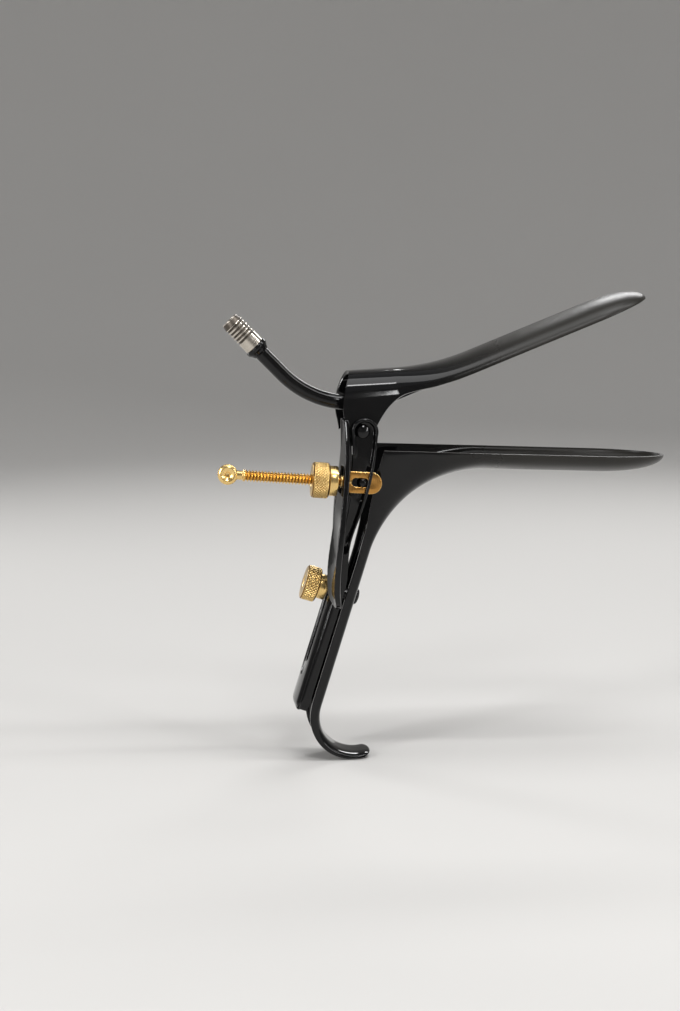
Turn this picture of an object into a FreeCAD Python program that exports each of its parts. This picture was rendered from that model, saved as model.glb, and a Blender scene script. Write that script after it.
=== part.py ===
import FreeCAD, Part
import math
import os

# Bivalve speculum with an air tube in its upper blade, in millimetres.
# The origin is the middle of the hinge axis, +X points along the blades,
# +Z is up, and the thumb lever and the threaded rod are on the -Y side.

# Sheet metal, and how far a cutting block reaches past the part
sheet = 1.4
cut_reach = 40.0
cut_far = 60.0
body_gap = 0.3
running_gap = 0.05

# Directions, in degrees
handle_lean = 17.3
blade_droop = 2.0
open_angle = 21.9
lever_yaw = 5.0

# Lower blade
blade_reach = 114.5
blade_half_width = 17.0
blade_depth = 6.7
blade_tip_length = 26.0
blade_fullness = 2.1
rim_drop = 7.4
rim_trim = 0.4
tip_depth = 1.7
tip_end_angle = 83.0
rim_trim_end = 6.0
rim_trim_run = 12.0
rim_trim_lift = 3.0

# Throat walls beside the bend, with their rear edge in the handle's upright frame
wall_half_width = 16.4
wall_corner_x = 8.3
wall_rear = 9.9
wall_turn = 14.0
wall_end = 34.0
flare_middle = 0.5
flare_spread = 0.21
flare_extra = 2.0
narrow_from = 0.45

# Handle and its hook
bend_radius = 43.0
bend_start_x = 45.0
handle_half_width = 10.0
handle_depth = 4.0
handle_bottom = 101.5
handle_fullness = 4.7
hook_radius = 14.0
hook_turn = 122.0
hook_run = 7.0
hook_half_width = 8.0
hook_depth = 3.2
hook_end_angle = 75.0

# Upper blade, measured with the blade level
upper_reach = 116.0
upper_rim = 3.8
upper_depth = 6.5
upper_tip_length = 22.0
collar_half_width = 16.5
collar_fullness = 2.7
collar_top_x = 4.5
collar_top_z = 20.4
roof_slope = 18.7
roof_blend = 88.0
wall_low = -8.0
collar_from = -8.0
collar_mid = 5.0
collar_to = 18.0
blade_from = 38.0
low_ease = 0.6
ear_radius = 4.8
ear_lean = 0.3
collar_top_overhang = 2.2
collar_top_rise = 4.0
collar_waist_x = -2.2
collar_waist_z = 11.5
ear_rear_z = 1.0
ear_front_z = -1.2
ear_front_share = 0.97
ear_rise_x = 12.5
ear_rise_z = 3.8
mouth_x = 19.5
mouth_z = 7.2
mouth_out_x = 28.0
mouth_out_rise = 0.9
rim_trim_below = 1.2
rim_trim_after = 2.0

# Pivot screws
pivot_radius = 1.75
pivot_head_radius = 2.5
pivot_head_height = 1.6
pivot_tail_radius = 2.4
pivot_tail_height = 0.8
pivot_head_chamfer = 0.6
pivot_play = 0.1

# Frame that carries the hinge
arm_width = 4.5
arm_web = 1.5
arm_rim = 1.2
arm_top_radius = 5.0
arm_top_x = 0.5
arm_front_top = 5.4
arm_rear_top = -4.4
arm_front = [(7.4, 10.0), (8.2, 25.0), (8.8, 41.0)]
arm_rear = [(-1.0, 10.0), (1.6, 25.0), (4.6, 41.0)]
plate_start = 60.0
plate_ease = 50.0
plate_front_ease = 1.3
plate_rear_ease = 0.9
crotch_depth = 46.0
crotch_start = 24.0
plate_half_width = 10.5
plate_bottom = 103.0
plate_depth = 5.1
plate_web = 1.6
plate_corner = 3.0
plate_corner_bulge = 0.293
shoulder_start = 20.0
shoulder_end = 54.0
shoulder_out_pull = 19.0
shoulder_in_pull = 18.0
slot_half_width = 2.7
slot_top = 57.0
slide_travel = 24.0
recess_depth = 0.5
recess_margin = 1.9
recess_tail = 3.0
window_margin = 2.6
window_width = 2.2
window_reach = 20.0
window_rear = 22.0
window_depth = 5.0

# Clamp on the handle
stud_down = 60.0
stud_radius = 2.2
stud_head_radius = 3.0
stud_head_height = 1.5
stud_head_chamfer = 0.7
stud_tip = 0.3
clamp_collar_radius = 4.6
clamp_collar_length = 3.6
knob_radius = 6.4
knob_length = 5.4
knob_cap = 1.4
knob_chamfer = 0.5

# Thumb lever
lever_thickness = 2.0
lever_length = 63.5
lever_thumb_half = 7.4
lever_center_y = 20.2
lever_top_back = 6.3
lever_top = 4.4
lever_bow = [(6.6, 8.0), (8.3, 24.0), (10.0, 38.0), (11.4, 52.0)]
lever_end_back = 11.2
lever_plan_top = 4.0
lever_top_out = 3.2
lever_neck_out = 2.0
lever_neck_down = 6.0
lever_waist_in = 1.4
lever_waist_out = 1.2
lever_waist_down = 22.0
lever_thumb_down = 40.0
lever_fold_down = 7.0
tab_height = 10.0
tab_low = -5.6
lever_slot_width = 5.6
lever_slot_height = 9.6
lever_slot_rise = 1.2

# Threaded rod and its eye plate
pin_x = -0.2
pin_z = -18.3
pin_radius = 1.5
pin_head_height = 0.6
pin_head_chamfer = 0.4
pin_play = 0.15
rod_side = 19.2
rod_radius = 2.25
rod_rise = 4.2
rod_length = 48.2
eye_plate_front = 7.0
eye_plate_rear = 5.0
eye_plate_half_height = 3.9
eye_plate_thickness = 1.1
eye_slot_front = 2.2
eye_slot_rear = 3.9
rod_start = 6.4
rod_neck = 1.9
rod_neck_radius = 1.6
rod_end_radius = 3.6
rod_end_half = 1.5
rod_end_wall = 0.9
rod_end_dimple = 1.5
rod_end_floor = 0.3

# Knurled nut with its bearing collar
nut_radius = 6.4
nut_length = 6.2
nut_chamfer = 0.6
nut_collar_radius = 5.4
nut_collar_length = 3.0
nut_seat = 12.1
collar_chamfer = 0.3

# Air tube
tube_radius = 2.75
tube_bore = 2.0
tube_end_x = 103.0
tube_bend_radius = 35.0
tube_braze = 0.05
tube_turn_x = 6.0
tube_rise_x = -17.0
tube_rise_z = 9.8
tube_top_x = -36.2
tube_top_z = 28.6
ring_radius = 4.3
ring_length = 3.4
nipple_radius = 3.8
nipple_length = 13.2
nipple_bore = 1.6
nipple_end_radius = 3.1
nipple_chamfer = 2.4
nipple_groove_count = 5
nipple_groove_pitch = 1.4
nipple_groove_depth = 0.35
nipple_groove_width = 0.65
nipple_groove_slope = 0.15
nipple_groove_start = 4.4
ring_foot = 2.0
ring_wall = 0.35
ring_flare_from = 0.6
ring_flare_step = 0.5
ring_edge = 0.2

lean = math.radians(handle_lean)
droop = math.radians(blade_droop)
side = FreeCAD.Vector(0, 1, 0)
middle = FreeCAD.Vector(0, 0, 0)
arm_inner = collar_half_width + body_gap
arm_outer = arm_inner + arm_width
ear_inside = collar_half_width - sheet - ear_lean


def vec(x, y, z):
    return FreeCAD.Vector(x, y, z)


def leaned(shape):
    """Turn a shape from the handle's upright frame to the part's frame."""
    shape.rotate(middle, side, handle_lean)
    return shape


def from_handle(x, z):
    """A side-view point of the handle's upright frame, in the part's frame."""
    return (x * math.cos(lean) + z * math.sin(lean),
            -x * math.sin(lean) + z * math.cos(lean))


def to_handle(x, z):
    return (x * math.cos(lean) - z * math.sin(lean),
            x * math.sin(lean) + z * math.cos(lean))


def side_face(edges):
    return Part.Face(Part.Wire(edges))


def polygon(points):
    corners = [vec(*p) for p in points]
    return Part.makePolygon(corners + corners[:1])


def smooth(points, final=None):
    """A smooth edge through points, with its last direction given where it matters."""
    curve = Part.BSplineCurve()
    spots = [vec(*p) for p in points]
    if final:
        curve.interpolate(Points=spots, InitialTangent=spots[1] - spots[0], FinalTangent=final)
    else:
        curve.interpolate(spots)
    return curve.toShape()


def across(face, half_width):
    """Push a side-view face out to both sides."""
    face.translate(vec(0, -half_width, 0))
    return face.extrude(vec(0, 2 * half_width, 0))


def turned(profile, base, direction):
    """Revolve a (distance along, radius) profile about an axis."""
    points = [vec(along, 0, radius) for along, radius in profile]
    face = Part.Face(Part.makePolygon(points + points[:1]))
    solid = face.revolve(middle, vec(1, 0, 0), 360)
    turn = FreeCAD.Rotation(vec(1, 0, 0), direction)
    solid.Placement = FreeCAD.Placement(base, turn)
    return solid


def trough_section(crest_x, crest_z, normal_x, normal_z, half_width, depth, fullness):
    """A closed section of bent sheet: a U whose bottom is the crest point."""
    steps = 14

    def place(y, height):
        return vec(crest_x + normal_x * height, y, crest_z + normal_z * height)

    def bow(width, low, high):
        points = []
        for k in range(steps + 1):
            angle = math.pi * (1 - k / steps)
            across_share = abs(math.cos(angle)) ** (2 / fullness)
            down_share = abs(math.sin(angle)) ** (2 / fullness)
            y = width * across_share * (-1 if k < steps / 2 else 1)
            if 2 * k == steps:
                y = 0.0
            points.append(place(y, high - (high - low) * down_share))
        return points

    outer = bow(half_width, 0.0, depth)
    inner = bow(half_width - sheet, sheet, depth)
    outer_curve = Part.BSplineCurve()
    outer_curve.interpolate(outer)
    inner_curve = Part.BSplineCurve()
    inner_curve.interpolate(list(reversed(inner)))
    right_cap = Part.Arc(outer[-1], place(half_width - sheet / 2, depth + sheet / 2), inner[-1])
    left_cap = Part.Arc(inner[0], place(sheet / 2 - half_width, depth + sheet / 2), outer[0])
    return Part.Wire([outer_curve.toShape(), right_cap.toShape(),
                      inner_curve.toShape(), left_cap.toShape()])


def joined_lofts(sections, cuts):
    """One solid from lofts that share their end sections, so straight runs stay straight."""
    pieces = [Part.makeLoft(sections[first:last + 1], True, False)
              for first, last in zip(cuts[:-1], cuts[1:])]
    return pieces[0].fuse(pieces[1:]).removeSplitter()


def tip_stations(reach, tip_length, half_width, full_depth):
    """Stations (x, half width, depth) round a spoon tip, from the tip inwards."""
    stations = []
    for angle in (tip_end_angle, 70.0, 55.0, 38.0, 20.0, 0.0):
        share = math.cos(math.radians(angle))
        x = reach - tip_length * (1 - math.sin(math.radians(angle)))
        stations.append((x, half_width * share, tip_depth + (full_depth - tip_depth) * share))
    return stations


def lower_rim_z(x):
    return -rim_drop - (x - wall_corner_x) * math.tan(droop)


def lower_blade_and_handle():
    """Blade, flared throat, channel handle and hook, bent from one sheet."""
    tip = tip_stations(blade_reach, blade_tip_length, blade_half_width, blade_depth)
    sections = [trough_section(x, lower_rim_z(x) - depth, 0, 1, half, depth, blade_fullness)
                for x, half, depth in tip + [(bend_start_x, blade_half_width, blade_depth)]]

    # The bend's centre lies below and in front, so the section planes fan out.
    turn = math.pi / 2 - lean
    crest_start_z = lower_rim_z(bend_start_x) - blade_depth
    center_x = bend_start_x
    center_z = crest_start_z - bend_radius
    corner_x = wall_corner_x - center_x
    corner_z = lower_rim_z(wall_corner_x) - center_z
    corner_reach = math.hypot(corner_x, corner_z) - bend_radius
    bend_shares = [0.16, 0.32, 0.48, 0.64, 0.8, 1.0]
    for share in bend_shares:
        angle = math.pi / 2 + share * turn
        normal_x = math.cos(angle)
        normal_z = math.sin(angle)
        flare = math.exp(-((share - flare_middle) / flare_spread) ** 2)
        plain = blade_depth + (handle_depth - blade_depth) * share
        depth = plain + (corner_reach + flare_extra - plain) * flare
        width_share = max(0.0, (share - narrow_from) / (1.0 - narrow_from))
        ease = width_share ** 2 * (3 - 2 * width_share)
        early = min(1.0, share / flare_middle)
        half = blade_half_width + (wall_half_width - blade_half_width) * early
        half = half + (handle_half_width - half) * ease
        full = blade_fullness + (handle_fullness - blade_fullness) * share
        sections.append(trough_section(center_x + bend_radius * normal_x,
                                       center_z + bend_radius * normal_z,
                                       normal_x, normal_z, half, depth, full))

    # Down the handle the sections stand square to the leaning line.
    end_angle = math.pi - lean
    end_x = center_x + bend_radius * math.cos(end_angle)
    end_z = center_z + bend_radius * math.sin(end_angle)
    crest_line = to_handle(end_x, end_z)[0]
    x, z = from_handle(crest_line, -handle_bottom)
    sections.append(trough_section(x, z, -math.cos(lean), math.sin(lean),
                                   handle_half_width, handle_depth, handle_fullness))

    # The hook turns forward about a centre in front of the handle.
    hook_x, hook_z = from_handle(crest_line + hook_radius, -handle_bottom)
    for step in range(1, 7):
        angle = math.pi - lean + math.radians(hook_turn) * step / 6
        share = step / 6
        depth = handle_depth + (hook_depth - handle_depth) * share
        half = handle_half_width + (hook_half_width - handle_half_width) * share
        sections.append(trough_section(hook_x + hook_radius * math.cos(angle),
                                       hook_z + hook_radius * math.sin(angle),
                                       math.cos(angle), math.sin(angle), half, depth,
                                       handle_fullness))
    last = math.pi - lean + math.radians(hook_turn)
    run_x = -math.sin(last)
    run_z = math.cos(last)
    for angle in (30.0, 55.0, hook_end_angle):
        share = math.cos(math.radians(angle))
        run = hook_run * math.sin(math.radians(angle))
        sections.append(trough_section(hook_x + hook_radius * math.cos(last) + run * run_x,
                                       hook_z + hook_radius * math.sin(last) + run * run_z,
                                       math.cos(last), math.sin(last), hook_half_width * share,
                                       tip_depth + (hook_depth - tip_depth) * share, handle_fullness))
    cuts = [0, len(tip) - 1, len(tip)]
    cuts.append(cuts[-1] + len(bend_shares))
    cuts.append(cuts[-1] + 1)
    cuts.append(len(sections) - 1)
    shell = joined_lofts(sections, cuts)

    # The throat's wall is trimmed along the rim line and along the rear line.
    rim_line = crest_line - handle_depth - sheet / 2
    rear_edge = [(wall_rear, cut_reach), (wall_rear, -wall_turn), (rim_line, -wall_end),
                 (wall_rear - cut_far, -wall_end), (wall_rear - cut_far, cut_reach)]
    corners = [from_handle(x, z) for x, z in rear_edge]
    rear_cut = across(Part.Face(polygon([(x, 0, z) for x, z in corners])), cut_reach)
    rim_end = bend_start_x + rim_trim_end
    rim_edge = [(-cut_far, lower_rim_z(-cut_far)), (rim_end, lower_rim_z(rim_end)),
                (rim_end + rim_trim_run, lower_rim_z(rim_end) + rim_trim_lift),
                (rim_end + rim_trim_run, cut_far), (-cut_far, cut_far)]
    rim_cut = across(Part.Face(polygon([(x, 0, z + rim_trim) for x, z in rim_edge])), cut_reach)
    shell = shell.cut(rear_cut).cut(rim_cut)
    hole = Part.makeCylinder(stud_radius + running_gap, cut_reach,
                             vec(crest_line - cut_reach / 2, 0, -stud_down), vec(1, 0, 0))
    shell = shell.cut(leaned(hole))
    return shell, crest_line


def roof_z(x):
    """Crest height of the level upper blade: a sloping roof that eases into the blade."""
    flat = upper_rim + upper_depth
    slope = math.radians(roof_slope)
    meet = collar_top_x + (collar_top_z - flat) / math.tan(slope)
    tangent = roof_blend * math.tan(slope / 2)
    start = meet - tangent * math.cos(slope)
    end = meet + tangent
    if x <= start:
        return collar_top_z - (x - collar_top_x) * math.tan(slope)
    if x >= end:
        return flat
    return flat + roof_blend - math.sqrt(roof_blend ** 2 - (end - x) ** 2)


def upper_blade_level():
    """Upper blade, its collar and its two ears, with the blade level."""
    sections = []
    for x in (collar_from, collar_mid, collar_to, 24.5, 31.0, blade_from, 48.0):
        crest = roof_z(x)
        blend = min(1.0, max(0.0, (x - collar_to) / (blade_from - collar_to)))
        ease = blend ** 2 * (3 - 2 * blend)
        low = wall_low + (upper_rim - wall_low) * ease ** low_ease
        half = collar_half_width + (blade_half_width - collar_half_width) * blend
        full = collar_fullness + (blade_fullness - collar_fullness) * blend
        sections.append(trough_section(x, crest, 0, -1, half, crest - low, full))
    for x, half, depth in reversed(tip_stations(upper_reach, upper_tip_length, blade_half_width,
                                                upper_depth)):
        sections.append(trough_section(x, upper_rim + depth, 0, -1, half, depth, blade_fullness))
    shell = joined_lofts(sections, [0, 6, 7, len(sections) - 1])

    # The side view trims the walls to the mouth's arch and the ears.
    under = upper_rim - rim_trim_below
    rear_top = vec(collar_top_x + collar_top_overhang, 0, collar_top_z + collar_top_rise)
    rear_mid = vec(collar_waist_x, 0, collar_waist_z)
    rear_low = vec(-ear_radius, 0, ear_rear_z)
    ear_low = vec(0, 0, -ear_radius)
    front_low = vec(ear_radius * ear_front_share, 0, ear_front_z)
    front_mid = vec(ear_rise_x, 0, ear_rise_z)
    mouth = vec(mouth_x, 0, mouth_z)
    mouth_out = vec(mouth_out_x, 0, upper_rim + mouth_out_rise)
    rim_in = vec(blade_from + rim_trim_after, 0, under)
    rear_curve = Part.BSplineCurve()
    rear_curve.interpolate([rear_top, rear_mid, rear_low])
    ear_arc = Part.Arc(rear_low, ear_low, front_low)
    front_curve = Part.BSplineCurve()
    front_curve.interpolate([front_low, front_mid, mouth, mouth_out, rim_in])
    far_low = vec(upper_reach + cut_reach, 0, under)
    far_top = vec(upper_reach + cut_reach, 0, cut_far)
    near_top = vec(rear_top.x, 0, cut_far)
    outline = [rear_curve.toShape(), ear_arc.toShape(), front_curve.toShape(),
               Part.makeLine(rim_in, far_low), Part.makeLine(far_low, far_top),
               Part.makeLine(far_top, near_top), Part.makeLine(near_top, rear_top)]
    block = across(Part.Face(Part.Wire(outline)), cut_reach)
    shell = shell.common(block)
    hole = Part.makeCylinder(pivot_radius + running_gap, 2 * cut_reach, vec(0, -cut_reach, 0), side)
    return shell.cut(hole)


def opened(shape):
    """Swing a level upper-blade shape up to the open position."""
    shape.rotate(middle, side, -open_angle)
    return shape


def band_face(front, rear, top):
    """A side-view face of the frame: curved lines down its arms, then straight ones."""
    down = vec(0, 0, -1)
    front_edge = smooth([(x, 0, z) for x, z in front[:-1]], down)
    rear_edge = smooth([(x, 0, z) for x, z in rear[:-1]], down)
    corners = [vec(x, 0, z) for x, z in (front[-2], front[-1], rear[-1], rear[-2])]
    arc = Part.Arc(vec(rear[0][0], 0, rear[0][1]), vec(top[0], 0, top[1]),
                   vec(front[0][0], 0, front[0][1]))
    return Part.Face(Part.Wire([front_edge] + Part.makePolygon(corners).Edges
                               + [rear_edge, arc.toShape()]))


def frame_body():
    """Yoke with two dished arms and a slotted plate, pressed from sheet."""
    back = handle_wall_line - sheet / 2 - body_gap
    front_line = [(arm_front_top, 0.0)] + [(x, -down) for x, down in arm_front]
    front_line += [(back - plate_front_ease, -plate_ease), (back, -plate_start), (back, -plate_bottom)]
    rear = back - plate_depth
    rear_line = [(arm_rear_top, 0.0)] + [(x, -down) for x, down in arm_rear]
    rear_line += [(rear - plate_rear_ease, -plate_ease), (rear, -plate_start), (rear, -plate_bottom)]
    block = across(band_face(front_line, rear_line, (arm_top_x, arm_top_radius)), arm_outer)

    top = arm_top_radius + 2.0
    deep = cut_reach
    shoulder = Part.BezierCurve()
    shoulder.setPoles([vec(-deep, arm_outer, -shoulder_start),
                       vec(-deep, arm_outer, -shoulder_start - shoulder_out_pull),
                       vec(-deep, plate_half_width, -shoulder_end + shoulder_in_pull),
                       vec(-deep, plate_half_width, -shoulder_end)])
    right = shoulder.toShape()
    left = right.mirror(middle, side)
    corner = plate_corner
    low = -plate_bottom
    bulge = corner * plate_corner_bulge
    right_corner = Part.Arc(vec(-deep, plate_half_width, low + corner),
                            vec(-deep, plate_half_width - bulge, low + bulge),
                            vec(-deep, plate_half_width - corner, low)).toShape()
    left_corner = right_corner.mirror(middle, side)
    outline = [Part.makeLine(vec(-deep, -arm_outer, top), vec(-deep, arm_outer, top)),
               Part.makeLine(vec(-deep, arm_outer, top), vec(-deep, arm_outer, -shoulder_start)),
               right,
               Part.makeLine(vec(-deep, plate_half_width, -shoulder_end),
                             vec(-deep, plate_half_width, low + corner)),
               right_corner,
               Part.makeLine(vec(-deep, plate_half_width - corner, low),
                             vec(-deep, corner - plate_half_width, low)),
               left_corner,
               Part.makeLine(vec(-deep, -plate_half_width, low + corner),
                             vec(-deep, -plate_half_width, -shoulder_end)),
               left,
               Part.makeLine(vec(-deep, -arm_outer, -shoulder_start), vec(-deep, -arm_outer, top))]
    plan = Part.Face(Part.Wire(Part.sortEdges(outline)[0])).extrude(vec(2 * deep, 0, 0))
    body = block.common(plan)

    mouth = crotch_block(arm_inner, crotch_depth - crotch_start, top, deep)
    body = body.cut(mouth)

    # The arms are dished from outside, down to a web beside the ears.
    dish_front = [(x - arm_rim, z) for x, z in front_line[:len(arm_front) + 1]]
    dish_rear = [(x + arm_rim, z) for x, z in rear_line[:len(arm_rear) + 1]]
    dish_end = vec((dish_front[-1][0] + dish_rear[-1][0]) / 2, 0, -crotch_depth + arm_rim)
    dish_top = vec(arm_top_x, 0, arm_top_radius - arm_rim)
    dish_edges = [smooth([(x, 0, z) for x, z in dish_front]),
                  Part.Arc(vec(dish_front[-1][0], 0, dish_front[-1][1]), dish_end,
                           vec(dish_rear[-1][0], 0, dish_rear[-1][1])).toShape(),
                  smooth([(x, 0, z) for x, z in dish_rear]),
                  Part.Arc(vec(dish_rear[0][0], 0, 0), dish_top,
                           vec(dish_front[0][0], 0, 0)).toShape()]
    dish = across(Part.Face(Part.Wire(Part.sortEdges(dish_edges)[0])), deep)
    web = crotch_block(arm_inner + arm_web, crotch_depth + arm_web - crotch_start, top, deep)
    body = body.cut(dish.cut(web))

    # The plate is a channel: a slotted rear web with side walls to the handle.
    hollow = Part.makeBox(plate_depth - plate_web + 3.0, 2 * (plate_half_width - sheet),
                          plate_bottom, vec(rear + plate_web, sheet - plate_half_width,
                                            -plate_bottom - 1.0))
    hollow_top = Part.makeBox(2 * cut_reach, 2 * cut_reach, cut_far, vec(-cut_reach, -cut_reach, -shoulder_end))
    body = body.cut(hollow.cut(hollow_top))
    slot_low = slot_top + slide_travel + 2 * slot_half_width + 1.0
    body = body.cut(stadium(slot_half_width, -slot_top, -slot_low, rear - 1.0, rear + plate_web + 1.0))
    body = body.cut(stadium(slot_half_width + recess_margin, recess_margin - slot_top,
                            -slot_low - recess_margin - recess_tail, rear - 1.0, rear + recess_depth))

    # The eye plate passes behind the near arm's front rim, and the rod leaves at its rear.
    px, pz = to_handle(pin_x, pin_z)
    tall = eye_plate_half_height + window_margin
    front_window = Part.makeBox(window_reach, window_width, 2 * tall,
                                vec(px, -rod_side - window_width / 2, pz - tall))
    rear_window = Part.makeBox(window_reach, window_depth, 2 * tall + 1.0,
                               vec(px - window_rear, -arm_outer - 1.0, pz - tall + 1.0))
    rear_window = rear_window.cut(web)
    body = body.cut(front_window).cut(rear_window)
    body = leaned(body)
    hole = Part.makeCylinder(pivot_radius, 2 * cut_reach, vec(0, -cut_reach, 0), side)
    body = body.cut(hole)
    pin_hole = Part.makeCylinder(pin_radius, arm_web + 2.0,
                                 vec(pin_x, -arm_inner - arm_web - 1.0, pin_z), side)
    return body.cut(pin_hole), rear


def crotch_block(inner_half, inner_drop, top, deep):
    """The arched space between the arms, open at its top."""
    stretch = FreeCAD.Matrix()
    stretch.scale(1.0, inner_half, inner_drop)
    bow = Part.Arc(vec(0, -1, 0), vec(0, 0, -1), vec(0, 1, 0)).toShape()
    curve = bow.transformGeometry(stretch)
    curve.translate(vec(-deep, 0, -crotch_start))
    ends = sorted([v.Point for v in curve.Vertexes], key=lambda p: p.y)
    line = Part.makePolygon([ends[0], vec(-deep, -inner_half, top + 1.0),
                             vec(-deep, inner_half, top + 1.0), ends[1]])
    wire = Part.Wire(Part.sortEdges([curve] + line.Edges)[0])
    return Part.Face(wire).extrude(vec(2 * deep, 0, 0))


def stadium(half_width, top, bottom, x_from, x_to):
    """A long slot with round ends, cut along X."""
    high = top - half_width
    low = bottom + half_width
    box = Part.makeBox(x_to - x_from, 2 * half_width, high - low, vec(x_from, -half_width, low))
    ends = [Part.makeCylinder(half_width, x_to - x_from, vec(x_from, 0, z), vec(1, 0, 0))
            for z in (high, low)]
    return box.fuse(ends).removeSplitter()


def thumb_lever():
    """A strip bent off the near ear: a tab, a fold, and a broad thumb rest."""
    inner = ear_inside
    back = [(-lever_top_back, lever_top)] + [(-behind, -down) for behind, down in lever_bow]
    back.append((-lever_end_back, -lever_length - 1.0))
    rear_edge = smooth([(x - lever_thickness / 2, 0, z) for x, z in back])
    front_edge = smooth([(x + lever_thickness / 2, 0, z) for x, z in back])
    caps = [Part.makeLine(vec(back[0][0] - lever_thickness / 2, 0, back[0][1]),
                          vec(back[0][0] + lever_thickness / 2, 0, back[0][1])),
            Part.makeLine(vec(back[-1][0] - lever_thickness / 2, 0, back[-1][1]),
                          vec(back[-1][0] + lever_thickness / 2, 0, back[-1][1]))]
    band = across(side_face(Part.sortEdges([rear_edge, front_edge] + caps)[0]), cut_reach)

    far = -cut_reach
    fold_y = lever_thickness - inner
    out = -lever_center_y - lever_thumb_half
    near = -lever_center_y + lever_thumb_half
    round_z = lever_thumb_half - lever_length
    left = smooth([(far, -inner - lever_top_out, lever_plan_top),
                   (far, -lever_center_y - lever_neck_out, -lever_neck_down),
                   (far, out + lever_waist_in, -lever_waist_down),
                   (far, out, -lever_thumb_down), (far, out, round_z)])
    thumb = Part.Arc(vec(far, out, round_z), vec(far, -lever_center_y, -lever_length),
                     vec(far, near, round_z)).toShape()
    right = smooth([(far, near, round_z), (far, near, -lever_thumb_down),
                    (far, near - lever_waist_out, -lever_waist_down),
                    (far, fold_y, -lever_fold_down), (far, fold_y, lever_plan_top)])
    cap = Part.makeLine(vec(far, fold_y, lever_plan_top), vec(far, -inner - lever_top_out, lever_plan_top))
    plan = Part.Face(Part.Wire([left, thumb, right, cap]))
    strip = band.common(plan.extrude(vec(2 * cut_reach, 0, 0)))
    strip.rotate(vec(back[0][0], fold_y, 0), vec(0, 0, 1), lever_yaw)

    # The tab lies inside the ear and carries the pivot screw's tail.
    tab = Part.makeBox(-back[0][0] - lever_thickness / 2 + 0.2, lever_thickness, tab_height,
                       vec(back[0][0] + lever_thickness / 2 - 0.2, -inner, tab_low))
    nose = Part.makeCylinder(tab_height / 2, lever_thickness, vec(0, -inner, tab_low + tab_height / 2), side)
    reach = Part.makeBox(lever_thickness, lever_thickness, tab_height,
                         vec(back[0][0] - lever_thickness / 2 - 0.1, -inner, tab_low))
    lever = strip.fuse([tab, nose, reach]).removeSplitter()
    hole = Part.makeCylinder(pivot_radius + running_gap, 3 * lever_thickness,
                             vec(0, -inner - lever_thickness, 0), side)
    slot = Part.makeBox(cut_reach, lever_slot_width, lever_slot_height,
                        vec(-cut_reach - lever_thickness, -rod_side - lever_slot_width / 2,
                            pin_z + lever_slot_rise - lever_slot_height / 2))
    return lever.cut(hole).cut(slot)


def pivot_screw(hand):
    """Headed pin through arm, ear and, on the near side, the lever's tab."""
    inside = ear_inside - (lever_thickness if hand < 0 else 0.0)
    web = arm_inner + arm_web
    head = web + pivot_head_height
    tail = inside - pivot_play
    profile = [(head, 0), (head, pivot_head_radius - pivot_head_chamfer),
               (head - pivot_head_chamfer, pivot_head_radius), (web, pivot_head_radius),
               (web, pivot_radius), (tail, pivot_radius), (tail, pivot_tail_radius),
               (tail - pivot_tail_height, pivot_tail_radius), (tail - pivot_tail_height, 0)]
    return turned(profile, middle, vec(0, hand, 0))


def rod_direction():
    rise = math.radians(rod_rise)
    return vec(-math.cos(rise), 0, math.sin(rise))


def along_rod(distance):
    return vec(pin_x, -rod_side, pin_z) + rod_direction() * distance


def rod_with_eyes():
    """Flat slotted eye at the pin, round shaft, neck and a dimpled round eye."""
    thick = eye_plate_thickness
    half = eye_plate_half_height
    front = eye_plate_front - half
    plate = Part.makeBox(front + eye_plate_rear, thick, 2 * half, vec(-eye_plate_rear, -thick / 2, -half))
    root = Part.makeBox(rod_start, thick, 2 * rod_radius, vec(-rod_start - 0.3, -thick / 2, -rod_radius))
    nose = Part.makeCylinder(half, thick, vec(front, -thick / 2, 0), side)
    window_half = pin_radius + running_gap
    long_from = window_half - eye_slot_rear
    long_to = eye_slot_front - window_half
    window = Part.makeBox(long_to - long_from, 4.0, 2 * window_half, vec(long_from, -2.0, -window_half))
    rounds = [Part.makeCylinder(window_half, 4.0, vec(x, -2.0, 0), side) for x in (long_from, long_to)]
    plate = plate.fuse(nose).cut(window.fuse(rounds)).removeSplitter()
    end = rod_length
    neck_from = end - rod_end_radius - rod_neck
    shaft = Part.makeCylinder(rod_radius, neck_from - rod_start, vec(-rod_start, 0, 0), vec(-1, 0, 0))
    neck = Part.makeCylinder(rod_neck_radius, end - neck_from, vec(-neck_from, 0, 0), vec(-1, 0, 0))
    disc = Part.makeCylinder(rod_end_radius, 2 * rod_end_half, vec(-end, -rod_end_half, 0), side)
    dimple_radius = rod_end_radius - rod_end_wall
    dimple = Part.makeCone(dimple_radius, dimple_radius - rod_end_dimple, rod_end_dimple - rod_end_floor,
                           vec(-end, -rod_end_half, 0), side)
    dimple_back = dimple.mirror(middle, side)
    rod = plate.fuse([root.cut(window.fuse(rounds)), shaft, neck, disc]).removeSplitter()
    rod = rod.cut(dimple).cut(dimple_back)
    rod.rotate(middle, side, rod_rise)
    rod.translate(vec(pin_x, -rod_side, pin_z))
    return rod


def eye_pin():
    """Headed pin on the near arm's web, on which the rod's eye swings."""
    foot = arm_inner + running_gap
    head = rod_side + eye_plate_thickness / 2 + pin_play
    top = head + pin_head_height
    profile = [(foot, 0), (foot, pin_radius), (head, pin_radius),
               (top, pin_radius - pin_head_chamfer), (top, 0)]
    return turned(profile, vec(pin_x, 0, pin_z), vec(0, -1, 0))


def nut_collar():
    first = nut_seat - nut_collar_length
    last = nut_seat - running_gap
    bore = rod_radius + running_gap
    profile = [(first, bore), (first, nut_collar_radius - collar_chamfer),
               (first + collar_chamfer, nut_collar_radius), (last, nut_collar_radius), (last, bore)]
    return turned(profile, along_rod(0), rod_direction())


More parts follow.
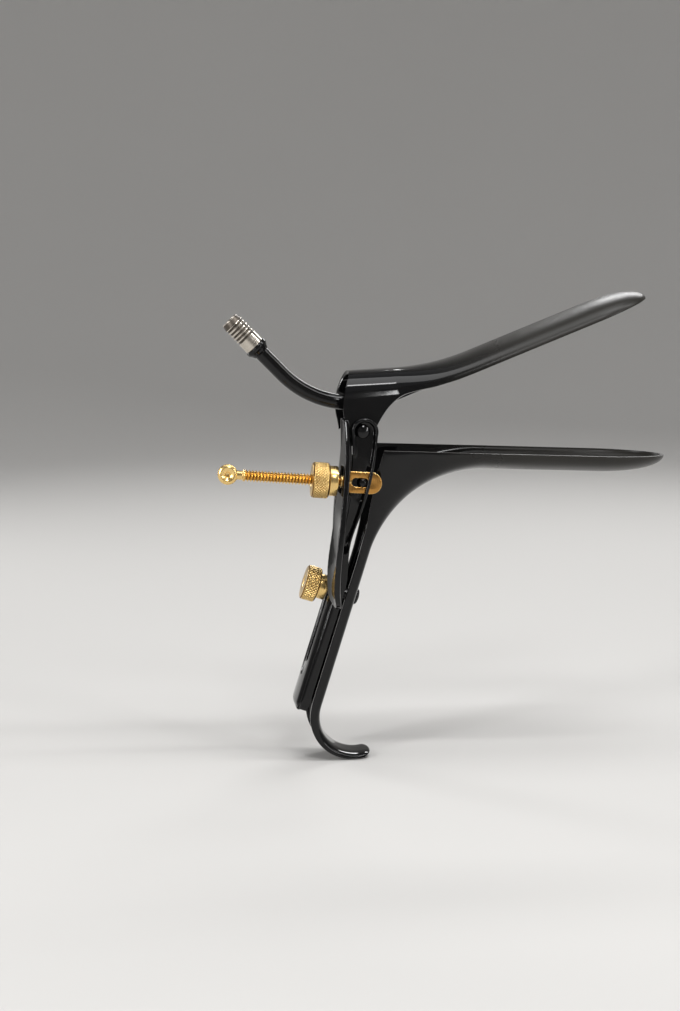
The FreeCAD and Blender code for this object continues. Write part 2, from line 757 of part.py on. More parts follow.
def rod_nut():
    end = nut_seat + nut_length
    profile = [(nut_seat, rod_radius + running_gap), (nut_seat, nut_radius - nut_chamfer),
               (nut_seat + nut_chamfer, nut_radius), (end - nut_chamfer, nut_radius),
               (end, nut_radius - nut_chamfer), (end, rod_radius + running_gap)]
    return turned(profile, along_rod(0), rod_direction())


def clamp_stud(crest_line, plate_rear):
    """Stud through handle and slot, with its round head on the handle's front."""
    x_front = crest_line + stud_head_height
    x_end = plate_rear - clamp_collar_length - knob_length + knob_cap + stud_tip
    profile = [(0, 0), (0, stud_head_radius - stud_head_chamfer), (stud_head_chamfer, stud_head_radius),
               (stud_head_height, stud_head_radius), (stud_head_height, stud_radius),
               (x_front - x_end, stud_radius), (x_front - x_end, 0)]
    sx, sz = from_handle(x_front, -stud_down)
    return turned(profile, vec(sx, 0, sz), vec(-math.cos(lean), 0, math.sin(lean)))


def clamp_collar(plate_rear):
    start = body_gap
    profile = [(start, stud_radius + running_gap), (start, clamp_collar_radius - collar_chamfer),
               (start + collar_chamfer, clamp_collar_radius), (clamp_collar_length, clamp_collar_radius),
               (clamp_collar_length, stud_radius + running_gap)]
    sx, sz = from_handle(plate_rear, -stud_down)
    return turned(profile, vec(sx, 0, sz), vec(-math.cos(lean), 0, math.sin(lean)))


def clamp_knob(plate_rear):
    start = clamp_collar_length + running_gap
    end = clamp_collar_length + knob_length
    inner_end = end - knob_cap
    profile = [(start, stud_radius + running_gap), (start, knob_radius - knob_chamfer),
               (start + knob_chamfer, knob_radius), (end - knob_chamfer, knob_radius),
               (end, knob_radius - knob_chamfer), (end, 0), (inner_end, 0),
               (inner_end, stud_radius + running_gap)]
    sx, sz = from_handle(plate_rear, -stud_down)
    return turned(profile, vec(sx, 0, sz), vec(-math.cos(lean), 0, math.sin(lean)))


def tube_route():
    """Side-view points: inside the blade's roof, out of the collar and up."""
    roof = upper_rim + upper_depth - sheet - tube_radius + tube_braze
    tilt = math.radians(open_angle)
    start = (tube_end_x * math.cos(tilt) - roof * math.sin(tilt),
             tube_end_x * math.sin(tilt) + roof * math.cos(tilt))
    turn_level_x = (tube_turn_x + roof * math.sin(tilt)) / math.cos(tilt)
    turn = (tube_turn_x, turn_level_x * math.sin(tilt) + roof * math.cos(tilt))
    return [start, turn, (tube_rise_x, tube_rise_z), (tube_top_x, tube_top_z)]


def bent_path(points, radius):
    """Straight runs joined by tangent arcs."""
    edges = []
    here = vec(points[0][0], 0, points[0][1])
    for k in range(1, len(points) - 1):
        corner = vec(points[k][0], 0, points[k][1])
        before = (vec(points[k - 1][0], 0, points[k - 1][1]) - corner).normalize()
        after = (vec(points[k + 1][0], 0, points[k + 1][1]) - corner).normalize()
        half = before.getAngle(after) / 2
        tangent = radius / math.tan(half)
        first = corner + before * tangent
        last = corner + after * tangent
        bisector = (before + after).normalize()
        summit = corner + bisector * (radius / math.sin(half) - radius)
        edges.append(Part.makeLine(here, first))
        edges.append(Part.Arc(first, summit, last).toShape())
        here = last
    edges.append(Part.makeLine(here, vec(points[-1][0], 0, points[-1][1])))
    return Part.Wire(edges)


def tube_axis_end():
    points = tube_route()
    before = vec(points[-2][0], 0, points[-2][1])
    end = vec(points[-1][0], 0, points[-1][1])
    return end, (end - before).normalize()


def air_tube():
    path = bent_path(tube_route(), tube_bend_radius)
    first = path.Edges[0].Vertexes[0].Point
    direction = (path.Edges[0].Vertexes[1].Point - first).normalize()
    outer = Part.Wire(Part.makeCircle(tube_radius, first, direction))
    inner = Part.Wire(Part.makeCircle(tube_bore, first, direction))
    solid = path.makePipeShell([outer], True, False)
    core = path.makePipeShell([inner], True, False)
    return solid.cut(core)


def tube_ring():
    """Flared socket brazed on the tube's end, which takes the hose nipple."""
    end, direction = tube_axis_end()
    top = ring_length - ring_foot
    profile = [(-ring_foot, tube_radius), (-ring_foot, tube_radius + ring_wall),
               (-ring_flare_from, ring_radius - ring_flare_step), (ring_edge, ring_radius),
               (top - ring_edge, ring_radius), (top, ring_radius - ring_edge), (top, tube_radius)]
    return turned(profile, end, direction)


def hose_nipple():
    end, direction = tube_axis_end()
    foot = ring_length - ring_foot
    tip = foot + nipple_length
    profile = [(0.0, nipple_bore), (0.0, tube_radius - running_gap),
               (foot, tube_radius - running_gap), (foot, nipple_radius)]
    for k in range(nipple_groove_count):
        at = foot + nipple_groove_start + k * nipple_groove_pitch
        floor = nipple_radius - nipple_groove_depth
        profile += [(at, nipple_radius), (at + nipple_groove_slope, floor),
                    (at + nipple_groove_width - nipple_groove_slope, floor),
                    (at + nipple_groove_width, nipple_radius)]
    profile += [(tip - nipple_chamfer, nipple_radius), (tip, nipple_end_radius), (tip, nipple_bore)]
    return turned(profile, end, direction)


def save(name, shape):
    solids = shape.Solids
    keep = solids[0] if len(solids) == 1 else Part.makeCompound(solids)
    print(name, len(solids), round(shape.Volume, 1), shape.isValid())
    keep.exportStep("parts/" + name + ".step")


os.makedirs("parts", exist_ok=True)
lower, crest_line = lower_blade_and_handle()
handle_wall_line = crest_line - handle_depth
frame_solid, plate_rear = frame_body()
save("lower_blade_handle", lower)
save("yoke_frame", frame_solid)
save("upper_blade", opened(upper_blade_level()))
save("thumb_lever", thumb_lever())
save("pivot_screw_near", pivot_screw(-1))
save("pivot_screw_far", pivot_screw(1))
save("rod_eye_pin", eye_pin())
save("threaded_rod", rod_with_eyes())
save("nut_collar", nut_collar())
save("rod_nut", rod_nut())
save("clamp_stud", clamp_stud(crest_line, plate_rear))
save("clamp_collar", clamp_collar(plate_rear))
save("clamp_knob", clamp_knob(plate_rear))
save("air_tube", air_tube())
save("tube_ring", tube_ring())
save("hose_nipple", hose_nipple())
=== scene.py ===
import bpy
import bmesh
import math
from functools import partial
from mathutils import Matrix, Vector


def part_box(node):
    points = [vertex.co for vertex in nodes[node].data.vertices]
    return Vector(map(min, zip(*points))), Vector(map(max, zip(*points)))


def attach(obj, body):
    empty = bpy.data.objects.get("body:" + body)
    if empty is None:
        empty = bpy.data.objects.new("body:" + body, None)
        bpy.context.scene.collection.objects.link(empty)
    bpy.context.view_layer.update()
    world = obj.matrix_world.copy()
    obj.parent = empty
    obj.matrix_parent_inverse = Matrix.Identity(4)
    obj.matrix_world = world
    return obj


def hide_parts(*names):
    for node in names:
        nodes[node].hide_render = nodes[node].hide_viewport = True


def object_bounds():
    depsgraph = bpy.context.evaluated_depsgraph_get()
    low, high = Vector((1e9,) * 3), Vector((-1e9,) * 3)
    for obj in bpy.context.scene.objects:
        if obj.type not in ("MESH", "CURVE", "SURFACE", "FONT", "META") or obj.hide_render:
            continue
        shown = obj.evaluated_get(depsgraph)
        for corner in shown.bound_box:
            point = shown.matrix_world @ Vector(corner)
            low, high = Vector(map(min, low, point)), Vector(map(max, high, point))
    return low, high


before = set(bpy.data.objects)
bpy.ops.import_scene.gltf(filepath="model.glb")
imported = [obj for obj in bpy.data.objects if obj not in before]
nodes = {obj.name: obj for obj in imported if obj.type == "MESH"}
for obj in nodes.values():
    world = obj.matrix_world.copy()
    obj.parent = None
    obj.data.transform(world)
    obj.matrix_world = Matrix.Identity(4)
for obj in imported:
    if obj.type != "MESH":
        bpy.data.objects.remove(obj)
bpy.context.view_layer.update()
mm = 0.001
print("frame loaded:", len(nodes), "nodes")

# The whole instrument, in millimetres and degrees, in the frame of the CAD model
layout = {
    "sheet": 1.4,  # thickness of the bent sheet
    "lean": 17.3,  # how far the handle leans back
    "droop": 2.0,  # fall of the lower blade's rim
    "opening": 21.9,  # swing of the upper blade from level
    "shoulder": 35.0,  # edges sharper than this stay crisp, in degrees
    "bevelAbove": 55.0,  # edges sharper than this are rounded over
}
lean = math.radians(layout["lean"])
droop = math.radians(layout["droop"])


# Small tools

def fromHandle(x, z):
    return (x * math.cos(lean) + z * math.sin(lean), z * math.cos(lean) - x * math.sin(lean))


def toHandle(x, z):
    return (x * math.cos(lean) - z * math.sin(lean), x * math.sin(lean) + z * math.cos(lean))


def intoScene(name, data):
    piece = bpy.data.objects.new(name, data)
    bpy.context.scene.collection.objects.link(piece)
    return piece


def meshPiece(name, points, faces, scale=mm):
    mesh = bpy.data.meshes.new(name)
    mesh.from_pydata([tuple(c * scale for c in p) for p in points], [], faces)
    mesh.validate()
    return intoScene(name, mesh)


def flatten(piece):  # turns the modifiers' result into a plain mesh
    bpy.context.view_layer.update()
    graph = bpy.context.evaluated_depsgraph_get()
    done = bpy.data.meshes.new_from_object(piece.evaluated_get(graph))
    piece.modifiers.clear()
    old = piece.data
    piece.data = done
    bpy.data.meshes.remove(old)
    return piece


def shadeSmooth(piece, angle=layout["shoulder"]):
    piece.data.shade_smooth()
    piece.data.set_sharp_from_angle(angle=math.radians(angle))
    return piece


def pointOut(piece):  # recalculates the faces of a closed shape
    work = bmesh.new()
    work.from_mesh(piece.data)
    bmesh.ops.remove_doubles(work, verts=work.verts, dist=0.001 * mm)
    bmesh.ops.recalc_face_normals(work, faces=work.faces)
    work.to_mesh(piece.data)
    work.free()
    return piece


def softenEdges(piece, width):
    bevel = piece.modifiers.new("soft edges", "BEVEL")
    bevel.width = width * mm
    bevel.segments = 3
    bevel.limit_method = "ANGLE"
    bevel.angle_limit = math.radians(layout["bevelAbove"])
    bevel.harden_normals = False
    evened = piece.modifiers.new("even shading", "WEIGHTED_NORMAL")
    evened.keep_sharp = True
    return flatten(piece)


def eased(share):  # a soft start and a soft end between 0 and 1
    share = min(1.0, max(0.0, share))
    return share * share * (3 - 2 * share)


def blend(first, second, share):
    return first + (second - first) * share


def dress(piece, material, slot, body, *replaced):
    if material:  # None keeps what the piece already wears
        piece.data.materials.clear()
        piece.data.materials.append(material)
    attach(piece, body)
    if replaced:
        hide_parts(*replaced)
    return piece


def throughPoints(corners, steps):  # a Catmull-Rom curve through side-view points
    padded = [corners[0]] + list(corners) + [corners[-1]]
    line = []
    for k in range(1, len(padded) - 2):
        a, b, c, d = padded[k - 1:k + 3]
        for step in range(steps):
            t = step / steps
            line.append(tuple(0.5 * (2 * q + (r - p) * t + (2 * p - 5 * q + 4 * r - s) * t * t
                                     + (3 * q - p - 3 * r + s) * t ** 3)
                              for p, q, r, s in zip(a, b, c, d)))
    return line + [tuple(corners[-1])]


# Materials

def wire(tree, source, target):
    tree.links.new(source, target)


def calc(tree, operation, first, second=None, third=None):
    step = tree.nodes.new("ShaderNodeMath")
    step.operation = operation
    for socket, value in zip(step.inputs, (first, second, third)):
        if value is None:
            continue
        if isinstance(value, (int, float)):
            socket.default_value = value
        else:
            wire(tree, value, socket)
    return step.outputs[0]


def spread(tree, value, low, high, fromLow=0.0, fromHigh=1.0):
    step = tree.nodes.new("ShaderNodeMapRange")
    wire(tree, value, step.inputs["Value"])
    limits = {"From Min": fromLow, "From Max": fromHigh, "To Min": low, "To Max": high}
    for name, limit in limits.items():
        step.inputs[name].default_value = limit
    return step.outputs["Result"]


def grain(tree, place, scale, detail=3.0, rough=0.5):
    step = tree.nodes.new("ShaderNodeTexNoise")
    step.inputs["Scale"].default_value = scale
    step.inputs["Detail"].default_value = detail
    step.inputs["Roughness"].default_value = rough
    wire(tree, place, step.inputs["Vector"])
    return step.outputs["Fac"]


def blendColour(tree, share, first, second):
    step = tree.nodes.new("ShaderNodeMix")
    step.data_type = "RGBA"
    wire(tree, share, step.inputs["Factor"])
    step.inputs[6].default_value = (*first, 1.0)
    step.inputs[7].default_value = (*second, 1.0)
    return step.outputs[2]


def bumpOf(tree, height, strength, depth):
    step = tree.nodes.new("ShaderNodeBump")
    step.inputs["Strength"].default_value = strength
    step.inputs["Distance"].default_value = depth * mm
    wire(tree, height, step.inputs["Height"])
    return step.outputs["Normal"]


def newMaterial(name):
    material = bpy.data.materials.new(name)
    material.use_nodes = True
    tree = material.node_tree
    shader = tree.nodes["Principled BSDF"]
    place = tree.nodes.new("ShaderNodeTexCoord").outputs["Object"]
    return material, tree, shader, place


lacquerLook = {
    "dark": (0.0025, 0.0025, 0.003),
    "pale": (0.005, 0.005, 0.005),
    "satin": (0.017, 0.0155, 0.013),
    "glossRough": 0.05,
    "satinRough": 0.36,
    "satinFrom": 22.0,  # where the blades turn satin, in mm along the part
    "satinTo": 62.0,
    "ior": 1.52,
    "gloss": 0.3,
    "peelScale": 420.0,  # the faint orange peel of sprayed lacquer
    "peelDepth": 0.05,
}


def blackLacquer():
    look = lacquerLook
    material, tree, shader, place = newMaterial("gloss black lacquer")
    cloud = grain(tree, place, 70.0, 4.0)
    split = tree.nodes.new("ShaderNodeSeparateXYZ")
    wire(tree, place, split.inputs[0])
    reach = (look["satinFrom"] * mm, look["satinTo"] * mm)
    dull = spread(tree, split.outputs["X"], 0.0, 1.0, *reach)
    deep = blendColour(tree, cloud, look["dark"], look["pale"])
    mixed = blendColour(tree, dull, look["dark"], look["satin"])
    wire(tree, deep, mixed.node.inputs[6])
    wire(tree, mixed, shader.inputs["Base Color"])
    satin = spread(tree, split.outputs["X"], look["glossRough"], look["satinRough"], *reach)
    smear = spread(tree, grain(tree, place, 160.0, 5.0, 0.6), -0.025, 0.035)
    wire(tree, calc(tree, "ADD", satin, smear), shader.inputs["Roughness"])
    shader.inputs["IOR"].default_value = look["ior"]
    shader.inputs["Specular IOR Level"].default_value = look["gloss"]
    orangePeel = grain(tree, place, look["peelScale"], 2.0)
    wire(tree, bumpOf(tree, orangePeel, 0.10, look["peelDepth"]), shader.inputs["Normal"])
    return material


goldLook = {
    "deep": (0.76, 0.49, 0.16),
    "bright": (0.93, 0.69, 0.31),
    "rough": 0.17,
    "roughSpread": 0.14,
    "turningTilt": 4.2,  # the turned pieces' axis, in degrees from X
}


def turnedMetal(name, look):
    material, tree, shader, place = newMaterial(name)
    turn = tree.nodes.new("ShaderNodeMapping")
    turn.vector_type = "TEXTURE"  # turns first, then draws the grain out round the axis
    turn.inputs["Rotation"].default_value = (0.0, math.radians(look["turningTilt"]), 0.0)
    turn.inputs["Scale"].default_value = (1.0, 50.0, 50.0)
    wire(tree, place, turn.inputs["Vector"])
    rings = grain(tree, turn.outputs["Vector"], 5200.0, 2.0)
    cloud = grain(tree, place, 240.0, 4.0)
    wire(tree, blendColour(tree, cloud, look["deep"], look["bright"]), shader.inputs["Base Color"])
    turned = spread(tree, rings, look["rough"], look["rough"] + look["roughSpread"], 0.3, 0.7)
    rough = calc(tree, "ADD", turned, spread(tree, cloud, -0.04, 0.05))
    wire(tree, rough, shader.inputs["Roughness"])
    shader.inputs["Metallic"].default_value = 1.0
    wire(tree, bumpOf(tree, rings, 0.2, 0.012), shader.inputs["Normal"])
    return material


steelLook = {
    "deep": (0.46, 0.42, 0.36),
    "bright": (0.68, 0.63, 0.56),
    "rough": 0.17,
    "roughSpread": 0.14,
    "turningTilt": 44.4,
}

# painted shade: darker steel laid in the hose nipple's grooves, where they shade themselves
grooveShadeLook = dict(steelLook, deep=(0.07, 0.06, 0.05), bright=(0.15, 0.13, 0.11), rough=0.35)

# painted shade: a darker gold laid low in thread roots and knurl valleys, where the cuts shade themselves
rootShadeLook = {
    "deep": (0.17, 0.08, 0.018),
    "bright": (0.30, 0.16, 0.045),
    "rough": 0.32,
    "roughSpread": 0.15,
    "turningTilt": 4.0,
}

# painted shade: a darker gold for the eye plate's flat faces, which reflect dark surroundings
plateFaceShadeLook = dict(rootShadeLook, deep=(0.42, 0.20, 0.045), bright=(0.60, 0.32, 0.09), rough=0.16)

black = blackLacquer()
gold = turnedMetal("polished gold plate", goldLook)
clampGold = turnedMetal("polished gold plate of the clamp", dict(goldLook, turningTilt=layout["lean"]))
paintedFaceShade = turnedMetal("gold face with painted shade", plateFaceShadeLook)
paintedRootShade = turnedMetal("painted shade in thread roots and knurl valleys", rootShadeLook)
steel = turnedMetal("turned bright steel", steelLook)
paintedGrooveShade = turnedMetal("shaded steel groove", grooveShadeLook)
inBlack, inGold, inClampGold = (black, "gloss_black"), (gold, "gold"), (clampGold, "gold")
print("materials made")


# Bent sheet: rows of points across the trough, then rounded spoon ends

def troughRow(crest, normal, half, depth, fullness, cut=None, steps=30):
    low = 0.0
    if cut is not None and cut < depth:
        low = math.asin((1 - cut / depth) ** (fullness / 2))
    row = []
    for j in range(-steps, steps + 1):
        angle = math.pi / 2 - (math.pi / 2 - low) * abs(j) / steps
        wide = half * max(0.0, math.cos(angle)) ** (2 / fullness)
        high = depth * (1 - math.sin(angle) ** (2 / fullness))
        row.append(Vector((crest[0] + normal[0] * high, -wide if j > 0 else wide,
                           crest[1] + normal[1] * high)))
    return row


def spoonEnd(pole, ahead, normal, length, half, depth, fullness, steps=30, rays=40):
    fan = []
    for k in range(1, rays):
        turn = math.pi * k / rays
        ray = []
        for i in range(steps):
            angle = math.pi / 2 * i / steps
            reach = math.cos(angle) ** (2 / fullness)
            high = depth * (1 - math.sin(angle) ** (2 / fullness))
            out = length * reach * math.sin(turn)
            ray.append(Vector((pole[0] + ahead[0] * out + normal[0] * high, half * reach * math.cos(turn),
                               pole[1] + ahead[1] * out + normal[1] * high)))
        fan.append(ray)
    return fan


def sheetMesh(name, rows, startFan=None, endFan=None):
    points = [p for row in rows for p in row]
    wide = len(rows[0])
    half = wide // 2
    faces = []
    for r in range(len(rows) - 1):
        for c in range(wide - 1):
            a = r * wide + c
            faces.append((a, a + 1, a + wide + 1, a + wide))
    for fan, row, flip in ((startFan, 0, True), (endFan, len(rows) - 1, False)):
        if not fan:
            continue
        first = row * wide
        pole = first + half
        rays = [[first + i for i in range(half)]]
        for ray in fan:
            rays.append(list(range(len(points), len(points) + half)))
            points += ray
        rays.append([first + wide - 1 - i for i in range(half)])
        for near, far in zip(rays[:-1], rays[1:]):
            for i in range(half - 1):
                face = (near[i], near[i + 1], far[i + 1], far[i])
                faces.append(tuple(reversed(face)) if flip else face)
            face = (near[-1], pole, far[-1])
            faces.append(tuple(reversed(face)) if flip else face)
    return meshPiece(name, points, faces)


def thicken(piece, rimRound):
    wall = piece.modifiers.new("sheet", "SOLIDIFY")
    wall.thickness = layout["sheet"] * mm
    wall.offset = -1.0
    wall.use_even_offset = True
    flatten(piece)
    softenEdges(piece, rimRound)
    return shadeSmooth(piece)


# Lower blade, throat, handle and hook, bent from one sheet

lowerBlade = {
    "reach": 114.2,
    "tipLength": 26.0,
    "bladeSection": (17.0, 6.7, 2.1),
    "handleSection": (10.0, 4.0, 4.7),
    "hookSection": (8.0, 1.2, 2.6),
    "rimDrop": 7.4,
    "cornerX": 8.3,
    "bendRadius": 43.0,
    "bendStart": 45.0,
    "wallHalf": 16.4,
    "wallRear": 9.9,
    "wallTurn": 14.0,
    "wallEnd": 34.0,
    "handleBottom": 101.5,
    "hookRadius": 13.7,
    "hookTurn": 117.0,
    "hookRun": 2.8,
    "rimRound": 0.55,
    "flareSpread": 0.21,  # how far round the bend the throat's walls stand out
    "flareSpare": 2.0,
    "rows": {"blade": 12, "bend": 72, "handle": 16, "hook": 36},
}


def lowerRim(x):
    return -lowerBlade["rimDrop"] - (x - lowerBlade["cornerX"]) * math.tan(droop)


def makeLowerBlade():
    b, count = lowerBlade, lowerBlade["rows"]
    blade, grip, end = b["bladeSection"], b["handleSection"], b["hookSection"]  # half, depth and fullness
    depth = blade[1]
    start = b["reach"] - b["tipLength"]
    rows = []
    for k in range(count["blade"] + 1):
        x = start + (b["bendStart"] - start) * k / count["blade"]
        rows.append(troughRow((x, lowerRim(x) - depth), (0.0, 1.0), *blade))
    tip = spoonEnd((start, lowerRim(start) - depth), (1.0, -math.tan(droop)), (0.0, 1.0),
                   b["tipLength"], *blade)

    turn = math.pi / 2 - lean
    centre = (b["bendStart"], lowerRim(b["bendStart"]) - depth - b["bendRadius"])
    cornerReach = math.hypot(b["cornerX"] - centre[0], lowerRim(b["cornerX"]) - centre[1])
    cornerReach -= b["bendRadius"]
    lastAngle = math.pi - lean
    crestLine = toHandle(centre[0] + b["bendRadius"] * math.cos(lastAngle),
                         centre[1] + b["bendRadius"] * math.sin(lastAngle))[0]
    rimLine = crestLine - grip[1] - layout["sheet"] / 2

    def reaches(share):  # how far the section runs to the rim line and to the rear line
        angle = math.pi / 2 + share * turn
        n = (math.cos(angle), math.sin(angle))
        c = (centre[0] + b["bendRadius"] * n[0], centre[1] + b["bendRadius"] * n[1])
        above = c[1] - lowerRim(c[0])
        up = n[1] + n[0] * math.tan(droop)
        toRim = -above / up if up > 1e-4 else 1e6
        hc, hn = toHandle(*c), toHandle(*n)
        toRear = (b["wallRear"] - hc[0]) / hn[0] if hn[0] < -1e-4 else 1e6
        if hn[0] < -1e-4 and hc[1] + toRear * hn[1] < -b["wallTurn"]:
            slope = (rimLine - b["wallRear"]) / (b["wallEnd"] - b["wallTurn"])
            line = b["wallRear"] + slope * (-b["wallTurn"] - hc[1])
            toRear = (line - hc[0]) / (hn[0] + slope * hn[1])
            if hc[1] + toRear * hn[1] < -b["wallEnd"]:
                toRear = 1e6
        return c, n, toRim if toRim > 0 else 1e6, toRear if toRear > 0 else 1e6

    low, high = 0.1, 0.9  # the wall's corner, where both lines are equally far
    for _ in range(40):
        middle = (low + high) / 2
        _, _, toRim, toRear = reaches(middle)
        low, high = (middle, high) if toRim < toRear else (low, middle)
    shares = sorted(set([k / count["bend"] for k in range(1, count["bend"] + 1)] + [low]))
    for share in shares:
        c, n, toRim, toRear = reaches(share)
        flare = math.exp(-((share - 0.5) / b["flareSpread"]) ** 2)
        plain = blend(blade[1], grip[1], share)
        depth = blend(plain, cornerReach + b["flareSpare"], flare)
        half = blend(blade[0], b["wallHalf"], min(1.0, share / 0.5))
        half = blend(half, grip[0], eased((share - 0.45) / 0.55))
        fullness = blend(blade[2], grip[2], share)
        if share < low:  # the rim keeps to its line as far as the corner
            depth = max(depth, toRim)
        rows.append(troughRow(c, n, half, depth, fullness, min(depth, toRim, toRear)))

    back = (-math.cos(lean), math.sin(lean))
    top = toHandle(*c)[1]
    for k in range(1, count["handle"] + 1):
        down = top + (-b["handleBottom"] - top) * k / count["handle"]
        rows.append(troughRow(fromHandle(crestLine, down), back, *grip))
    hook = fromHandle(crestLine + b["hookRadius"], -b["handleBottom"])
    for k in range(1, count["hook"] + 1):
        share = k / count["hook"]
        angle = math.pi - lean + math.radians(b["hookTurn"]) * share
        n = (math.cos(angle), math.sin(angle))
        c = (hook[0] + b["hookRadius"] * n[0], hook[1] + b["hookRadius"] * n[1])
        shares = (share * share, share * share, share)
        rows.append(troughRow(c, n, *map(blend, grip, end, shares)))
    hookEnd = spoonEnd(c, (-n[1], n[0]), n, b["hookRun"], *end)
    piece = sheetMesh("lower_blade_and_handle", rows, tip, hookEnd)
    return thicken(piece, b["rimRound"])


lower = makeLowerBlade()
dress(lower, *inBlack, "handle", "lower_blade_handle")
print("lower blade and handle made")


# Upper blade with its collar and two ears, worked out level and then swung open

upperBlade = {
    "reach": 116.0,
    "tipLength": 22.0,
    "half": 17.0,
    "rim": 3.8,
    "depth": 6.5,
    "fullness": 2.1,
    "collarHalf": 16.5,
    "collarFullness": 2.7,
    "collarTop": (4.5, 20.4),
    "roofSlope": 18.7,
    "roofBlend": 88.0,
    "wallLow": -8.0,
    "collarTo": 18.0,
    "bladeFrom": 38.0,
    "earRadius": 4.8,
    "earFrom": 168.0,
    "earTo": 345.0,
    "rearBow": -2.7,
    "mouth": [(4.64, -1.24), (8.6, 2.0), (13.0, 4.6), (18.5, 6.2), (24.5, 5.9), (31.0, 4.75),
              (38.0, 4.0), (45.0, 3.8), (52.0, 3.8)],
    "rimRound": 0.5,
    "fan": 6.0,  # length of collar roof shared out over the ears' rows
    "rows": {"ears": 18, "mouth": 8, "blade": 18},
}


def roofHeight(x):
    u = upperBlade
    flat = u["rim"] + u["depth"]
    slope = math.radians(u["roofSlope"])
    meet = u["collarTop"][0] + (u["collarTop"][1] - flat) / math.tan(slope)
    tangent = u["roofBlend"] * math.tan(slope / 2)
    if x <= meet - tangent * math.cos(slope):
        return u["collarTop"][1] - (x - u["collarTop"][0]) * math.tan(slope)
    if x >= meet + tangent:
        return flat
    return flat + u["roofBlend"] - math.sqrt(u["roofBlend"] ** 2 - (meet + tangent - x) ** 2)


def upperSection(x):  # lowest height, half width and fullness of the section at x
    u = upperBlade
    ease = eased((x - u["collarTo"]) / (u["bladeFrom"] - u["collarTo"]))
    return (blend(u["wallLow"], u["rim"], ease ** 0.6), blend(u["collarHalf"], u["half"], ease),
            blend(u["collarFullness"], u["fullness"], ease))


def upperRow(crestX, rim, bow, steps=30):
    crest = (crestX, roofHeight(crestX))
    low, half, fullness = upperSection(rim[0])
    rimShare = min(1.0, max(0.0, (rim[1] - low) / (roofHeight(rim[0]) - low)))
    end = math.asin(rimShare ** (fullness / 2))
    row = []
    for j in range(-steps, steps + 1):
        angle = math.pi / 2 - (math.pi / 2 - end) * abs(j) / steps
        s = (1 - math.sin(angle) ** (2 / fullness)) / (1 - rimShare)
        x = blend(crest[0], rim[0], s) + bow * 4 * s * (1 - s)
        z = blend(crest[1], rim[1], s)
        low, half, full = upperSection(x)
        up = min(1.0, max(0.0, (z - low) / (roofHeight(x) - low)))
        y = half * (1 - up ** full) ** (1 / full) if j else 0.0
        row.append(Vector((x, y if j < 0 else -y, z)))
    return row


def makeUpperBlade():
    u, count = upperBlade, upperBlade["rows"]
    start = u["reach"] - u["tipLength"]
    mouthEnd = u["mouth"][-1][0]
    rows = []
    crestX = u["collarTop"][0]
    for k in range(count["ears"]):
        share = k / count["ears"]
        angle = math.radians(blend(u["earFrom"], u["earTo"], share))
        rim = (u["earRadius"] * math.cos(angle), u["earRadius"] * math.sin(angle))
        rows.append(upperRow(crestX + u["fan"] * share, rim, u["rearBow"] * (1 - share) ** 1.5))
    crestX += u["fan"]
    mouth = throughPoints(u["mouth"], count["mouth"])
    for k, rim in enumerate(mouth):
        rows.append(upperRow(blend(crestX, mouthEnd, k / (len(mouth) - 1)), rim, 0.0))
    for k in range(1, count["blade"] + 1):
        x = mouthEnd + (start - mouthEnd) * k / count["blade"]
        rows.append(upperRow(x, (x, u["rim"]), 0.0))
    tip = spoonEnd((start, u["rim"] + u["depth"]), (1.0, 0.0), (0.0, -1.0), u["tipLength"], u["half"],
                   u["depth"], u["fullness"])
    swing = Matrix.Rotation(-math.radians(layout["opening"]), 3, "Y")
    rows = [[swing @ p for p in row] for row in rows]
    tip = [[swing @ p for p in ray] for ray in tip]
    return thicken(sheetMesh("upper_blade_sheet", rows, None, tip), u["rimRound"])


upper = makeUpperBlade()
dress(upper, *inBlack, "upper", "upper_blade")
print("upper blade made")


# Pressed pieces: the CAD shape, its edges rounded over as thick lacquer rounds them

pressed = {
    "yoke_frame": {
        "name": "sliding_yoke", "body": "frame", "grid": 0.26, "rounding": 14, "keep": 0.22,
        "plate": {"from": -50.0, "to": -62.0, "half": 10.5, "side": 3.6, "end": 2.6, "reach": 2.2,
                  "crown": 1.1, "crownDepth": 4.0},
    },
    "thumb_lever": {
        "name": "thumb_lever_strip", "body": "upper", "grid": 0.2, "rounding": 18, "keep": 0.35,
        "dish": {"depth": 1.5, "middle": -20.6, "half": 7.4, "from": -26.0, "to": -44.0},
    },
}


def roundCorner(a, b):  # carries the square corner between two distances onto a quarter circle
    if a <= 0 or b <= 0:
        return a, b
    share = max(a, b) / math.hypot(a, b)
    return a * share, b * share


def roundPlate(piece, plate):  # the plate's back edges and foot, worked out upright
    half, side, end, reach = (plate[key] for key in ("half", "side", "end", "reach"))
    upright = [Vector(toHandle(v.co.x / mm, v.co.z / mm)) for v in piece.data.vertices]
    rear = min(p.x for p in upright if p.y < plate["to"])
    low = min(p.y for p in upright)
    for v, p in zip(piece.data.vertices, upright):
        share = min(1.0, max(0.0, (plate["from"] - p.y) / (plate["from"] - plate["to"])))
        if not share:
            continue
        away, hand = abs(v.co.y / mm), math.copysign(1.0, v.co.y)
        fade = max(0.0, 1 - (p.x - rear) / plate["crownDepth"])
        x, z = p.x + plate["crown"] * (away / half) ** 2 * fade, p.y
        a, b = roundCorner(side - (x - rear), away - (half - side))
        x, away = rear + side - a, half - side + b
        a, b = roundCorner(end - (x - rear), low + end - z)
        x, z = rear + end - a, low + end - b
        z -= reach * max(0.0, (plate["to"] - z) / (plate["to"] - low)) ** 3
        away = blend(abs(v.co.y / mm), away, share)
        x, z = fromHandle(blend(p.x, x, share), blend(p.y, z, share))
        v.co = Vector((x, hand * away, z)) * mm


